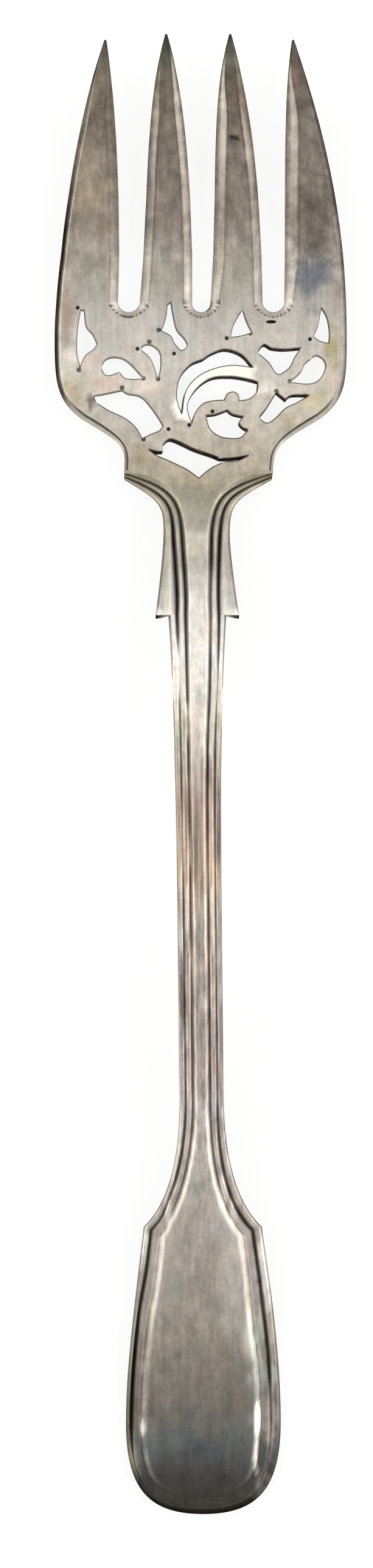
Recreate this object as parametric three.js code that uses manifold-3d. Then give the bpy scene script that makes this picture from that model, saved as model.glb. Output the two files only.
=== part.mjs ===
// A fish serving fork with a pierced scroll head and a threaded fiddle handle, in millimetres.
// X runs across the fork, Y towards the tine tips and Z up, with the fork lying on its back on z = 0.
// Each piece is drawn flat, front face at z = 0, and then bent to the fork's side profile.
import * as THREE from 'three';
import { mergeVertices } from 'three/addons/utils/BufferGeometryUtils.js';
import Module from 'manifold-3d';

// Lengths along the fork, from the tine tips to the end of the handle
const TINE_LENGTH = 46.7;
const PANEL_LENGTH = 28.4;
const YOKE_LENGTH = 9.5;
const LUG_LENGTH = 13.4;
const STEM_LENGTH = 81;
const SHOULDER_LENGTH = 22.3;
const TERMINAL_LENGTH = 48.7;

// Widths across the fork
const HEAD_WIDTH = 49.4;
const FOOT_WIDTH = 25.2;
const YOKE_WIDTH = 25;
const NECK_WIDTH = 11.2;
const LUG_WIDTH = 14.8;
const STEM_TOP_WIDTH = 9.8;
const STEM_WIDTH = 7.5;
const SHOULDER_WIDTH = 20;
const TERMINAL_WIDTH = 26.2;

// Tines: two inner, two outer, parted by a centre gap and two side gaps
const CENTRE_GAP = 3.1;
const SIDE_GAP = 3.7;
const INNER_TINE_WIDTH = 8.85;
const INNER_TIP_SPREAD = 10.8;
const OUTER_TIP_SPREAD = 31.4;
const OUTER_TIP_SETBACK = 1;
const TIP_RADIUS = 0.8;

// Rounded lower corners of the pierced panel
const CHEEK_HEIGHT = 23.4;
const CORNER_HEIGHT = 10.2;
const CORNER_INSET = 4.7;
const FOOT_HEIGHT = 2.9;
const CORNER_HANDLE_INSET = 0.4;
const CORNER_HANDLE_RISE = 3.1;
const FOOT_HANDLE_RISE = 3.2;

// Thickness of the metal, and the depth below the front face that keeps its relief
const PLATE_THICKNESS = 2.1;
const TIP_THICKNESS = 1.2;
const STEM_THICKNESS = 4;
const TERMINAL_THICKNESS = 2.4;
const RELIEF_DEPTH = 0.5;
const EDGE_CHAMFER = 0.45;

// Side profile: tines rise, the handle arches and its end lies flat on the table
const TINE_RISE = 9.5;
const ARCH_HEIGHT = 11;
const LOW_POINT_HEIGHT = 22;
const CREST_DISTANCE = 35;
const TERMINAL_REST_LENGTH = 8;
const HEAD_REST_DEPTH = 0.2;
const DISH_DEPTH = 2.2;

// Pair of engraved threads on each side of the handle, set in from its edge
const THREAD_WIDTH = 0.6;
const THREAD_DEPTH = 0.35;
const OUTER_THREAD = { tip: 1, yoke: 1.35, neck: 1.85, stem: 0.8, terminal: 1.35 };
const INNER_THREAD = { tip: 2.1, yoke: 2.6, neck: 3.35, stem: 2, terminal: 2.8 };

// Soldered joint: a V seam on the front and a tongue of the head let into the back of the handle
const SOLDER_THICKNESS = 0.3;
const SOLDER_CLEARANCE = 0.1;
const SEAM_DROP = 1.6;
const SEAM_RISE = 1.6;
const SEAM_BEND = 5;
const TONGUE_WIDTH = 7;
const TONGUE_LENGTH = 9;
const TONGUE_THICKNESS = 0.75;

// Fineness of curves and of the bend
const CURVE_STEPS = 7;
const OPENING_STEPS = 2;
const THREAD_STEPS = 130;
const BEND_STEP = 6;
const DISH_STEP = 10;
const CUT_TOLERANCE = 1e-4;
const LINE_TOLERANCE = 1e-7;
const MERGE_TOLERANCE = 1e-5;
const CUT_MARGIN = 5;

// Places along Y, with the middle of the whole length at 0
const LENGTHS = [
  TINE_LENGTH, PANEL_LENGTH, YOKE_LENGTH, LUG_LENGTH, STEM_LENGTH, SHOULDER_LENGTH, TERMINAL_LENGTH,
];
const TIP_Y = LENGTHS.reduce((sum, length) => sum + length, 0) / 2;
const ROOT_Y = TIP_Y - TINE_LENGTH;
const FOOT_Y = ROOT_Y - PANEL_LENGTH;
const NECK_Y = FOOT_Y - YOKE_LENGTH;
const LUG_Y = NECK_Y - LUG_LENGTH;
const STEM_END_Y = LUG_Y - STEM_LENGTH;
const SHOULDER_Y = STEM_END_Y - SHOULDER_LENGTH;
const END_Y = SHOULDER_Y - TERMINAL_LENGTH;
const LOW_Y = FOOT_Y + LOW_POINT_HEIGHT;
const CREST_Y = LUG_Y - CREST_DISTANCE;
const REST_Y = END_Y + TERMINAL_REST_LENGTH;
const SEAM_GAP = SOLDER_THICKNESS + 2 * SOLDER_CLEARANCE;

const { lerp, smoothstep } = THREE.MathUtils;
const wasm = await Module();
wasm.setup();

// Openings of the scroll panel, each a ring of smooth runs that meet in corners.
// Points are drawn on a panel of this half width and length, from the middle of its foot.
const PATTERN_HALF_WIDTH = 24.7;
const PATTERN_LENGTH = 28.4;
const OPENINGS = {
  leftSlit: [
    [[-20.3, 28.7], [-20.7, 26], [-20.9, 22], [-20.4, 19.3]],
    [[-19.6, 21], [-18.1, 22.2], [-17.6, 23.1]],
    [[-18.3, 24.6], [-19.4, 26], [-19.8, 28.6]],
  ],
  leftComma: [
    [[-16.8, 19.1], [-16, 20.3], [-14.4, 20.7], [-12.4, 20], [-9.7, 17.2]],
    [[-11.3, 17.1], [-12.8, 17.3], [-13.8, 18.4]],
    [[-14.8, 17.9], [-16.1, 17.8], [-16.8, 19.1]],
  ],
  upperComma: [
    [[-10.2, 22.1], [-9.4, 22.8], [-8.2, 22.7], [-7, 21.6], [-6.8, 19.5], [-7.2, 17.2]],
    [[-8, 19.6], [-8.8, 21], [-10.2, 22.1]],
  ],
  leaf: [
    [[-5.2, 30], [-4.7, 27.5], [-4.1, 25.4], [-2.9, 24], [-2.3, 23]],
    [[-2.6, 22.3], [-3.4, 22.1], [-4.4, 23.2], [-5, 24.4], [-6.6, 25.3]],
    [[-6.2, 26.3], [-5.8, 28], [-5.7, 29.6]],
  ],
  leftScroll: [
    [[-18.3, 13.4], [-18, 14.2], [-16.5, 14.4], [-13.3, 15.1]],
    [[-12.3, 14.5], [-10.6, 14.2], [-9.4, 13.4], [-7.6, 11.1], [-6.4, 9.2]],
    [[-7, 8.4], [-8.4, 7.8], [-9.8, 7.1]],
    [[-10.8, 8.8], [-12.6, 10.4], [-15.5, 11.8], [-18.3, 13.4]],
  ],
  upperCrescent: [
    [[-3.2, 11.3], [-4, 14], [-3.5, 17.2], [-1.7, 19.5], [0.4, 20.4]],
    [[1.9, 21.3], [4.2, 21.9], [6.9, 20.9], [8.9, 19.1]],
    [[5.4, 19.5], [2.2, 18.9], [-0.6, 17.5], [-2.6, 15], [-3.2, 11.3]],
  ],
  lowerCrescent: [
    [[9.7, 16.4], [7.3, 16.9], [4.8, 17.1], [1.8, 16.8], [-0.7, 15.1], [-2.2, 12.6], [-1.5, 9.7]],
    [[-0.9, 11.5], [0.4, 13], [2.2, 13.5], [4, 13.6]],
    [[4.4, 14.6], [5.4, 15], [6.3, 14.6], [6.6, 13.5]],
    [[8.2, 13.8], [9.4, 14.9], [9.7, 16.4]],
  ],
  scrollEye: [
    [[1.1, 10.4], [2.6, 10.6], [4.5, 11.7]],
    [[5.4, 11.1], [7.1, 10.7]],
    [[6.5, 9.8], [6.8, 9.1], [7.8, 8.4]],
    [[6.9, 7.3], [5.3, 7.1], [3.2, 7.5], [1.6, 8.8], [1.1, 10.4]],
  ],
  rightTriangle: [
    [[7, 28.8], [7.6, 27], [8.6, 25]],
    [[7, 24.5], [5.1, 24.2]],
    [[5.6, 26.2], [7, 28.8]],
  ],
  rightBell: [
    [[9.6, 21.6], [10.7, 22.9], [12, 22.3], [14.2, 22.1], [16.8, 22.3]],
    [[15.8, 20.7], [14.9, 19], [13.4, 17.9]],
    [[12.6, 18.3], [11.6, 19.9], [9.6, 21.6]],
  ],
  rightSlit: [
    [[20.4, 29], [21.3, 27.3], [21.7, 25], [21.6, 23.2]],
    [[20.3, 23.5], [19.1, 24.3]],
    [[19.8, 25.8], [20.4, 29]],
  ],
  rightRound: [
    [[18.7, 20.5], [19.6, 21], [20.8, 20.2], [21, 18.8], [20, 17], [18.2, 16.3], [15.1, 16.6]],
    [[16.9, 18.1], [17.6, 19.5], [18.7, 20.5]],
  ],
  rightScroll: [
    [[9.9, 10.6], [11.2, 12.2], [12.8, 14.8]],
    [[14.4, 13.5]],
    [[15.4, 14.3], [18.2, 14.3]],
    [[16.2, 13.1], [14.3, 12.2], [12.6, 10.5], [11.2, 9.7], [9.9, 10.6]],
  ],
  footScroll: [
    [[-6.3, 5.8], [-5.4, 6.8], [-4.2, 6.7], [-0.9, 5.2], [2.1, 4.2], [3.5, 3.6]],
    [[5.8, 3.7], [8.1, 4.1]],
    [[6.4, 3.3], [4.2, 3.1]],
    [[2.1, 2.1], [0.1, 0.4]],
    [[-1.9, 1.8], [-4.4, 3], [-6, 3.7]],
    [[-7.2, 4.2], [-8.5, 5.1]],
    [[-7.3, 4.8], [-6.2, 4.8]],
  ],
};

// Side profile of the back face, and the thickness above it
function backHeight(y) {
  if (y > LOW_Y) {
    return TINE_RISE * ((y - LOW_Y) / (TIP_Y - LOW_Y)) ** 2 - HEAD_REST_DEPTH;
  }
  const fall = smoothstep(y, CREST_Y, LOW_Y);
  return ARCH_HEIGHT * smoothstep(y, REST_Y, CREST_Y) * (1 - fall) - HEAD_REST_DEPTH * fall;
}

function thicknessAt(y) {
  const stem = (STEM_THICKNESS - PLATE_THICKNESS) * (1 - smoothstep(y, NECK_Y, FOOT_Y));
  const terminal = (STEM_THICKNESS - TERMINAL_THICKNESS) * (1 - smoothstep(y, SHOULDER_Y, STEM_END_Y));
  const tine = (PLATE_THICKNESS - TIP_THICKNESS) * smoothstep(y, ROOT_Y, TIP_Y);
  return PLATE_THICKNESS + stem - terminal - tine;
}

function dishRise(x, y) {
  return DISH_DEPTH * (2 * x / HEAD_WIDTH) ** 2 * smoothstep(y, NECK_Y, FOOT_Y + FOOT_HEIGHT);
}

// Height of a point of the flat form once it is bent; the back is levelled where it rests on the table
function bentHeight(x, y, z) {
  const thickness = thicknessAt(y);
  const stretch = (thickness - RELIEF_DEPTH) / (PLATE_THICKNESS - RELIEF_DEPTH);
  const depth = z < -RELIEF_DEPTH ? (z + RELIEF_DEPTH) * stretch - RELIEF_DEPTH : z;
  return Math.max(0, backHeight(y) + dishRise(x, y) + thickness + depth);
}

// Turns a closed geometry into a solid that can be joined and cut
function solid(geometry) {
  geometry.deleteAttribute('normal');
  geometry.deleteAttribute('uv');
  const merged = mergeVertices(geometry, MERGE_TOLERANCE);
  return new wasm.Manifold(new wasm.Mesh({
    numProp: 3,
    vertProperties: new Float32Array(merged.attributes.position.array),
    triVerts: new Uint32Array(merged.index.array),
  }));
}

// Cuts solids into cells at planes square to an axis
function cutAt(solids, axis, stations) {
  const normal = [0, 0, 0];
  normal[axis] = 1;
  return solids.flatMap((whole) => {
    const cells = [];
    let rest = whole;
    for (const station of stations) {
      const [after, before] = rest.splitByPlane(normal, station);
      cells.push(before);
      rest = after;
    }
    return [...cells, rest];
  });
}

// Evenly spaced stations between two ends, half a step off the lug's square end or the middle line
function stationsBetween(low, high, origin, step) {
  const stations = [];
  const first = Math.ceil((low - origin) / step - 0.5);
  for (let s = origin + (first + 0.5) * step; s < high; s += step) {
    stations.push(s);
  }
  return stations;
}

// Joins cut cells again: corners on a cut are shared, and an edge on a cut takes its neighbour's corners too
function rejoin(triangles, onCut) {
  const shared = [];
  const gap = (a, b) => Math.hypot(a[0] - b[0], a[1] - b[1], a[2] - b[2]);
  const share = (corner) => {
    const twin = shared.find((other) => gap(other, corner) < CUT_TOLERANCE);
    if (twin || !onCut(corner)) {
      return twin ?? corner;
    }
    shared.push(corner);
    return corner;
  };
  const isBetween = (p, a, b) => p !== a && p !== b && gap(p, a) + gap(p, b) - gap(a, b) < LINE_TOLERANCE;
  const split = (corners) => {
    for (let i = 0; i < 3; i += 1) {
      const [a, b, c] = [corners[i], corners[(i + 1) % 3], corners[(i + 2) % 3]];
      const extra = onCut(a) && onCut(b) && shared.find((p) => p !== c && isBetween(p, a, b));
      if (extra) {
        return [...split([a, extra, c]), ...split([extra, b, c])];
      }
    }
    return [corners];
  };
  return triangles.map((corners) => corners.map(share)).flatMap(split);
}

// Bends a flat solid to the side profile and the dish, after cutting it into cells that can bend
function bend(flat) {
  const stations = [
    stationsBetween(-HEAD_WIDTH / 2, HEAD_WIDTH / 2, 0, DISH_STEP),
    stationsBetween(END_Y, TIP_Y, LUG_Y, BEND_STEP),
  ];
  const isAt = (corner, axis, station) => Math.abs(corner[axis] - station) < CUT_TOLERANCE;
  const onCut = (corner) => stations.some((list, axis) => list.some((s) => isAt(corner, axis, s)));
  const isCutFace = (corners) => stations.some(
    (list, axis) => list.some((s) => corners.every((corner) => isAt(corner, axis, s))),
  );
  const triangles = [];
  for (const cell of cutAt(cutAt([flat], 1, stations[1]), 0, stations[0])) {
    const { numProp, vertProperties, triVerts } = cell.getMesh();
    const corner = (v) => [...vertProperties.slice(v * numProp, v * numProp + 3)];
    for (let t = 0; t < triVerts.length; t += 3) {
      triangles.push([corner(triVerts[t]), corner(triVerts[t + 1]), corner(triVerts[t + 2])]);
    }
  }
  const skin = rejoin(triangles.filter((corners) => !isCutFace(corners)), onCut);
  const places = skin.flat().flatMap(([x, y, z]) => [x, y, bentHeight(x, y, z)]);
  const geometry = new THREE.BufferGeometry();
  geometry.setAttribute('position', new THREE.Float32BufferAttribute(places, 3));
  const merged = mergeVertices(geometry, MERGE_TOLERANCE);
  merged.computeVertexNormals();
  return merged;
}

// One edge of a tine from root to tip: part straight lean, part a late curve
function tineEdge(rootX, rootY, tipX, tipY, lean, power) {
  const points = [];
  for (let i = 1; i <= CURVE_STEPS; i += 1) {
    const s = i / CURVE_STEPS;
    const share = lean * s + (1 - lean) * s ** power;
    points.push(new THREE.Vector2(lerp(rootX, tipX, share), lerp(rootY, tipY, s)));
  }
  return points;
}

function addPoints(path, points) {
  points.forEach((point) => path.lineTo(point.x, point.y));
}

// Right half of the head's edge: centre gap, inner tine, side gap, outer tine and rounded lower corner
function headEdge(path) {
  const gapRadius = CENTRE_GAP / 2;
  const sideRadius = SIDE_GAP / 2;
  const innerEdgeX = gapRadius + INNER_TINE_WIDTH;
  const outerEdgeX = innerEdgeX + SIDE_GAP;
  const innerTipX = INNER_TIP_SPREAD / 2;
  const outerTipX = OUTER_TIP_SPREAD / 2;
  const innerTipY = TIP_Y - TIP_RADIUS;
  const outerTipY = innerTipY - OUTER_TIP_SETBACK;
  const innerRootY = ROOT_Y + gapRadius;
  const sideRootY = ROOT_Y + sideRadius;
  const cheekX = HEAD_WIDTH / 2;
  const cheekY = FOOT_Y + CHEEK_HEIGHT;
  const cornerX = cheekX - CORNER_INSET;
  const cornerY = FOOT_Y + CORNER_HEIGHT;
  const footX = FOOT_WIDTH / 2;
  const footY = FOOT_Y + FOOT_HEIGHT;

  path.moveTo(0, ROOT_Y);
  path.absarc(0, innerRootY, gapRadius, -Math.PI / 2, 0, false);
  addPoints(path, tineEdge(gapRadius, innerRootY, innerTipX - TIP_RADIUS, innerTipY, 0.35, 5));
  path.absarc(innerTipX, innerTipY, TIP_RADIUS, Math.PI, 0, true);
  const innerFall = tineEdge(innerEdgeX, sideRootY, innerTipX + TIP_RADIUS, innerTipY, 0.45, 4);
  addPoints(path, [...innerFall.reverse(), new THREE.Vector2(innerEdgeX, sideRootY)]);
  path.absarc(innerEdgeX + sideRadius, sideRootY, sideRadius, Math.PI, 2 * Math.PI, false);
  addPoints(path, tineEdge(outerEdgeX, sideRootY, outerTipX - TIP_RADIUS, outerTipY, 0.1, 5));
  path.absarc(outerTipX, outerTipY, TIP_RADIUS, Math.PI, 0, true);
  const outerFall = tineEdge(cheekX, cheekY, outerTipX + TIP_RADIUS, outerTipY, 0, 2);
  addPoints(path, [...outerFall.reverse(), new THREE.Vector2(cheekX, cheekY)]);
  path.bezierCurveTo(
    cheekX, lerp(cornerY, cheekY, 0.45),
    cheekX - CORNER_HANDLE_INSET, cornerY + CORNER_HANDLE_RISE,
    cornerX, cornerY,
  );
  path.bezierCurveTo(
    lerp(footX, cornerX, 0.3), lerp(footY, cornerY, 0.58),
    footX, footY + FOOT_HANDLE_RISE,
    footX, footY,
  );
}

// Control points of the right edge of the handle without its lug, in curves of four points that share ends
function handleRail() {
  const neckX = NECK_WIDTH / 2;
  const topX = STEM_TOP_WIDTH / 2;
  const stemX = STEM_WIDTH / 2;
  const shoulderX = SHOULDER_WIDTH / 2;
  const endX = TERMINAL_WIDTH / 2;
  const stemMidY = lerp(LUG_Y, STEM_END_Y, 0.62);
  const bulgeY = lerp(SHOULDER_Y, END_Y, 0.68);
  const rail = [
    ['tip', YOKE_WIDTH / 2, FOOT_Y],
    ['yoke', lerp(neckX, YOKE_WIDTH / 2, 0.08), lerp(NECK_Y, FOOT_Y, 0.62)],
    ['yoke', neckX, lerp(NECK_Y, FOOT_Y, 0.58)],
    ['neck', neckX, NECK_Y],
    ['neck', lerp(topX, neckX, 0.6), lerp(LUG_Y, NECK_Y, 0.6)],
    ['neck', topX, lerp(LUG_Y, NECK_Y, 0.3)],
    ['neck', topX, LUG_Y],
    ['neck', lerp(stemX, topX, 0.5), lerp(LUG_Y, stemMidY, 0.2)],
    ['stem', stemX, lerp(LUG_Y, stemMidY, 0.45)],
    ['stem', stemX, stemMidY],
    ['stem', stemX, lerp(stemMidY, STEM_END_Y, 0.4)],
    ['stem', stemX, lerp(stemMidY, STEM_END_Y, 0.8)],
    ['stem', stemX, STEM_END_Y],
    ['stem', stemX, lerp(STEM_END_Y, SHOULDER_Y, 0.45)],
    ['terminal', lerp(stemX, shoulderX, 0.28), lerp(STEM_END_Y, SHOULDER_Y, 0.81)],
    ['terminal', shoulderX, SHOULDER_Y],
    ['terminal', lerp(shoulderX, endX, 0.32), lerp(SHOULDER_Y, bulgeY, 0.25)],
    ['terminal', endX, lerp(SHOULDER_Y, bulgeY, 0.65)],
    ['terminal', endX, bulgeY],
    ['terminal', endX, lerp(bulgeY, END_Y, 0.74)],
    ['terminal', endX * 0.69, END_Y],
    ['terminal', 0, END_Y],
  ];
  return rail.map(([zone, x, y]) => ({ zone, point: new THREE.Vector2(x, y) }));
}

// The rail moved in from the edge, by the inset that each of its zones has
function insetRail(insets) {
  const rail = handleRail();
  const inward = (from, to) => {
    const along = to.clone().sub(from).normalize();
    return new THREE.Vector2(along.y, -along.x);
  };
  return rail.map(({ zone, point }, i) => {
    const before = inward(rail[Math.max(i, 1) - 1].point, rail[Math.max(i, 1)].point);
    const last = Math.min(i, rail.length - 2);
    const after = inward(rail[last].point, rail[last + 1].point);
    const middle = before.clone().add(after).normalize();
    return middle.multiplyScalar(insets[zone] / middle.dot(before)).add(point);
  });
}

// Right half of the handle's edge, with the square-ended lug below the neck
function handleEdge(path) {
  const rail = handleRail().map(({ point }) => point);
  const lugX = LUG_WIDTH / 2;
  path.lineTo(rail[0].x, rail[0].y);
  path.bezierCurveTo(...rail[1].toArray(), ...rail[2].toArray(), ...rail[3].toArray());
  path.quadraticCurveTo(lerp(rail[3].x, lugX, 0.12), lerp(LUG_Y, NECK_Y, 0.67), lugX, LUG_Y);
  path.lineTo(rail[6].x, LUG_Y);
  for (let i = 6; i + 3 < rail.length; i += 3) {
    path.bezierCurveTo(...rail[i + 1].toArray(), ...rail[i + 2].toArray(), ...rail[i + 3].toArray());
  }
}

// Whole outline, chamfered along its front and back edges
function flatBlank() {
  const half = new THREE.Path();
  headEdge(half);
  handleEdge(half);
  const right = half.getPoints(CURVE_STEPS);
  const left = right.slice(1, -1).reverse().map((point) => new THREE.Vector2(-point.x, point.y));
  const blank = new THREE.ExtrudeGeometry(new THREE.Shape([...right, ...left]), {
    depth: PLATE_THICKNESS - 2 * EDGE_CHAMFER,
    bevelThickness: EDGE_CHAMFER,
    bevelSize: EDGE_CHAMFER,
    bevelOffset: -EDGE_CHAMFER,
    bevelSegments: 1,
  });
  blank.translate(0, 0, EDGE_CHAMFER - PLATE_THICKNESS);
  return solid(blank);
}

// Straight-sided solid between two heights
function prism(shape, bottom, top) {
  const geometry = new THREE.ExtrudeGeometry(shape, {
    depth: top - bottom,
    bevelEnabled: false,
    curveSegments: OPENING_STEPS,
  });
  geometry.translate(0, 0, bottom);
  return solid(geometry);
}

function openingCutter(runs) {
  const scaleX = HEAD_WIDTH / 2 / PATTERN_HALF_WIDTH;
  const scaleY = PANEL_LENGTH / PATTERN_LENGTH;
  const placed = runs.map((run) => run.map(([x, y]) => new THREE.Vector2(x * scaleX, FOOT_Y + y * scaleY)));
  const shape = new THREE.Shape();
  shape.moveTo(placed[0][0].x, placed[0][0].y);
  shape.splineThru(placed[0].slice(1));
  placed.slice(1).forEach((run) => shape.splineThru(run));
  return prism(shape, -PLATE_THICKNESS - CUT_MARGIN, CUT_MARGIN);
}

// V-shaped cutter of one thread, from one yoke tip round the end of the handle to the other.
// It stands as far above the front face as it cuts into it.
function threadCutter(insets) {
  const right = insetRail(insets).map((point) => new THREE.Vector3(point.x, point.y, 0));
  const left = right.map((point) => new THREE.Vector3(-point.x, point.y, 0)).reverse();
  const route = new THREE.CurvePath();
  for (const side of [right, left]) {
    for (let i = 0; i + 3 < side.length; i += 3) {
      route.add(new THREE.CubicBezierCurve3(side[i], side[i + 1], side[i + 2], side[i + 3]));
    }
  }
  const section = new THREE.Shape([
    new THREE.Vector2(THREAD_DEPTH, 0),
    new THREE.Vector2(-THREAD_DEPTH, THREAD_WIDTH),
    new THREE.Vector2(-THREAD_DEPTH, -THREAD_WIDTH),
  ]);
  return solid(new THREE.ExtrudeGeometry(section, { steps: THREAD_STEPS, extrudePath: route }));
}

// Room that belongs to the head at the joint, grown by a gap: all above the V seam, and the tongue behind
function headRoom(gap) {
  const seamX = FOOT_WIDTH / 2;
  const sideY = FOOT_Y + SEAM_RISE - gap;
  const centreY = FOOT_Y - SEAM_DROP - gap;
  const wide = HEAD_WIDTH;
  const bottom = -PLATE_THICKNESS - CUT_MARGIN;
  const above = new THREE.Shape();
  above.moveTo(-wide, sideY);
  above.lineTo(-seamX, sideY);
  above.quadraticCurveTo(-SEAM_BEND, sideY, 0, centreY);
  above.quadraticCurveTo(SEAM_BEND, sideY, seamX, sideY);
  above.lineTo(wide, sideY);
  above.lineTo(wide, TIP_Y + CUT_MARGIN);
  above.lineTo(-wide, TIP_Y + CUT_MARGIN);
  const radius = TONGUE_WIDTH / 2 + gap;
  const roundY = FOOT_Y - SEAM_DROP - TONGUE_LENGTH + TONGUE_WIDTH / 2;
  const tongue = new THREE.Shape();
  tongue.moveTo(radius, sideY + gap);
  tongue.lineTo(-radius, sideY + gap);
  tongue.lineTo(-radius, roundY);
  tongue.absarc(0, roundY, radius, Math.PI, 2 * Math.PI, false);
  const tongueTop = TONGUE_THICKNESS - PLATE_THICKNESS + gap;
  return prism(above, bottom, CUT_MARGIN).add(prism(tongue, bottom, tongueTop));
}

const silver = (color, roughness) => new THREE.MeshStandardMaterial({ color, roughness, metalness: 1 });

function piece(name, flat, material) {
  const mesh = new THREE.Mesh(bend(flat), material);
  mesh.name = name;
  return mesh;
}

let fork = flatBlank();
for (const runs of Object.values(OPENINGS)) {
  fork = fork.subtract(openingCutter(runs));
}
for (const insets of [OUTER_THREAD, INNER_THREAD]) {
  fork = fork.subtract(threadCutter(insets));
}
const head = fork.intersect(headRoom(0));
const handle = fork.subtract(headRoom(SEAM_GAP));
const solder = fork.intersect(headRoom(SEAM_GAP - SOLDER_CLEARANCE)).subtract(headRoom(SOLDER_CLEARANCE));

const assembly = new THREE.Group();
assembly.add(piece('pierced_head', head, silver(0xa69e92, 0.38)));
assembly.add(piece('handle', handle, silver(0xaaa396, 0.34)));
assembly.add(piece('solder_seam', solder, silver(0x9c978c, 0.45)));

export default assembly;
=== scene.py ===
"""A fish serving fork with a pierced scroll head and a threaded fiddle handle, in worn silver."""

import math

import bmesh
import bpy
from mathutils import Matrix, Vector
from mathutils.geometry import delaunay_2d_cdt
from mathutils.kdtree import KDTree


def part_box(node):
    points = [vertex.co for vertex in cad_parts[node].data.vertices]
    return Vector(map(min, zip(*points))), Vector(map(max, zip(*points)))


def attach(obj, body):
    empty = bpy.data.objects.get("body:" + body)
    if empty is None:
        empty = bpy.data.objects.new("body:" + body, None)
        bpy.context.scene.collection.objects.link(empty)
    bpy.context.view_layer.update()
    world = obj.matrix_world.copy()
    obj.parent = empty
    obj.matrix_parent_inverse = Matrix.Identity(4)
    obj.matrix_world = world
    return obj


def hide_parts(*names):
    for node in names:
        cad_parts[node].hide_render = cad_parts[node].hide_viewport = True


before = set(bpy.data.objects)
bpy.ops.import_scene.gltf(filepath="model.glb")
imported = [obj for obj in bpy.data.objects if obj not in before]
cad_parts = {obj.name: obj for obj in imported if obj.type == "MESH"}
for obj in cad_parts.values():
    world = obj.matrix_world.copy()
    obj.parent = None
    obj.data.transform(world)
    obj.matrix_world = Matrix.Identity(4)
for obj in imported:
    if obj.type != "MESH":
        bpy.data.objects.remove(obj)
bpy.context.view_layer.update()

# Shapes are drawn in millimetres and scaled to metres when a piece is made
MM = 0.001
_, head_high = [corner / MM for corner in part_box("pierced_head")]
handle_low, handle_high = [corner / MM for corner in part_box("handle")]

# Lengths along the fork, and the places where they end
TINE_LENGTH = 46.7
PANEL_LENGTH = 28.4
YOKE_LENGTH = 9.5
LUG_LENGTH = 13.4
STEM_LENGTH = 81
SHOULDER_LENGTH = 22.3
TIP_Y = head_high.y
END_Y = handle_low.y
ROOT_Y = TIP_Y - TINE_LENGTH
FOOT_Y = ROOT_Y - PANEL_LENGTH
NECK_Y = FOOT_Y - YOKE_LENGTH
LUG_Y = NECK_Y - LUG_LENGTH
STEM_END_Y = LUG_Y - STEM_LENGTH
SHOULDER_Y = STEM_END_Y - SHOULDER_LENGTH
STEM_MID_Y = LUG_Y + 0.62 * (STEM_END_Y - LUG_Y)
BULGE_Y = SHOULDER_Y + 0.68 * (END_Y - SHOULDER_Y)

# Half widths across it
HEAD_X = head_high.x
FOOT_X = 12.6
YOKE_X = 12.5
NECK_X = 5.6
LUG_X = 7.05
STEM_TOP_X = 4.9
STEM_X = 3.75
SHOULDER_X = 10
TERMINAL_X = handle_high.x

# Thickness and side profile
PLATE = 2.1
TIP_THICKNESS = 1.2
STEM_THICKNESS = 4
TERMINAL_THICKNESS = 2.4
TINE_RISE = 9.5
ARCH_HEIGHT = 11
HEAD_REST_DEPTH = 0.2
DISH_DEPTH = 2.2
LOW_POINT_HEIGHT = 22
CREST_DISTANCE = 35
REST_LENGTH = 8
LOW_Y = FOOT_Y + LOW_POINT_HEIGHT
CREST_Y = LUG_Y - CREST_DISTANCE
REST_Y = END_Y + REST_LENGTH

# Tines
CENTRE_GAP = 3.1
SIDE_GAP = 3.7
INNER_TINE = 8.85
INNER_TIP_X = 5.4
OUTER_TIP_X = 15.7
OUTER_TIP_SETBACK = 1
TIP_RADIUS = 0.22
SIDE_GAP_X = CENTRE_GAP / 2 + INNER_TINE + SIDE_GAP / 2

# Corners of the head's side, up from the foot of the panel, and the pull of the curves between them
CHEEK_HEIGHT = 23.4
CORNER_HEIGHT = 10.2
CORNER_INSET = 4.7
FOOT_HEIGHT = 2.9
CHEEK_PULL = 0.4
CORNER_PULL = 3.1
FOOT_PULL = 3.2

# Sideways sway of the fork, bent a little in use: place along it and move to the right
SWAY = [
    (-126, 0.4), (-90, 0.5), (-30, -0.12), (0, -0.46), (25, -0.56), (40, -0.7), (47, -0.62), (56, -0.08),
    (62, 0), (76, 0), (88, 0.34), (98, 0.28), (108, 0), (118, -0.34), (126, -0.44),
]
# The fourth tine, which comes in between these places, keeps a share of the sway
FOURTH_TINE_X = (8, 13)
FOURTH_TINE_Y = (62, 80)
FOURTH_TINE_SWAY = 0.3

# Bevels of the head: along the tine gaps, along the rim, at the foot, round the openings and behind
GAP_BEVEL = 1.5
RIM_BEVEL = 0.9
FOOT_BEVEL = 0.55
OPENING_BEVEL = 0.2
BACK_BEVEL = 0.3
BEVEL_DEPTH = 0.5
# Shares of a bevel's width at its border, line, shine and middle, and of its depth at the last two
BEVEL_RAILS = (1.22, 1, 0.82, 0.45)
SHINE_DROP = 0.18
MIDDLE_DROP = 0.55
# Bevels run out at the tips, narrow round the roots of the gaps and are wider on two of the tines
TIP_SHARE = 0.05
TIP_FLAT = 0.25
TIP_TAPER = 14
TIP_DEPTH_SHARE = 0.2
ROOT_SHARE = 0.6
ROOT_ROUND = 1.8
THIRD_TINE_WIDER = 0.32
FOURTH_TINE_WIDER = 0.58

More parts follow.
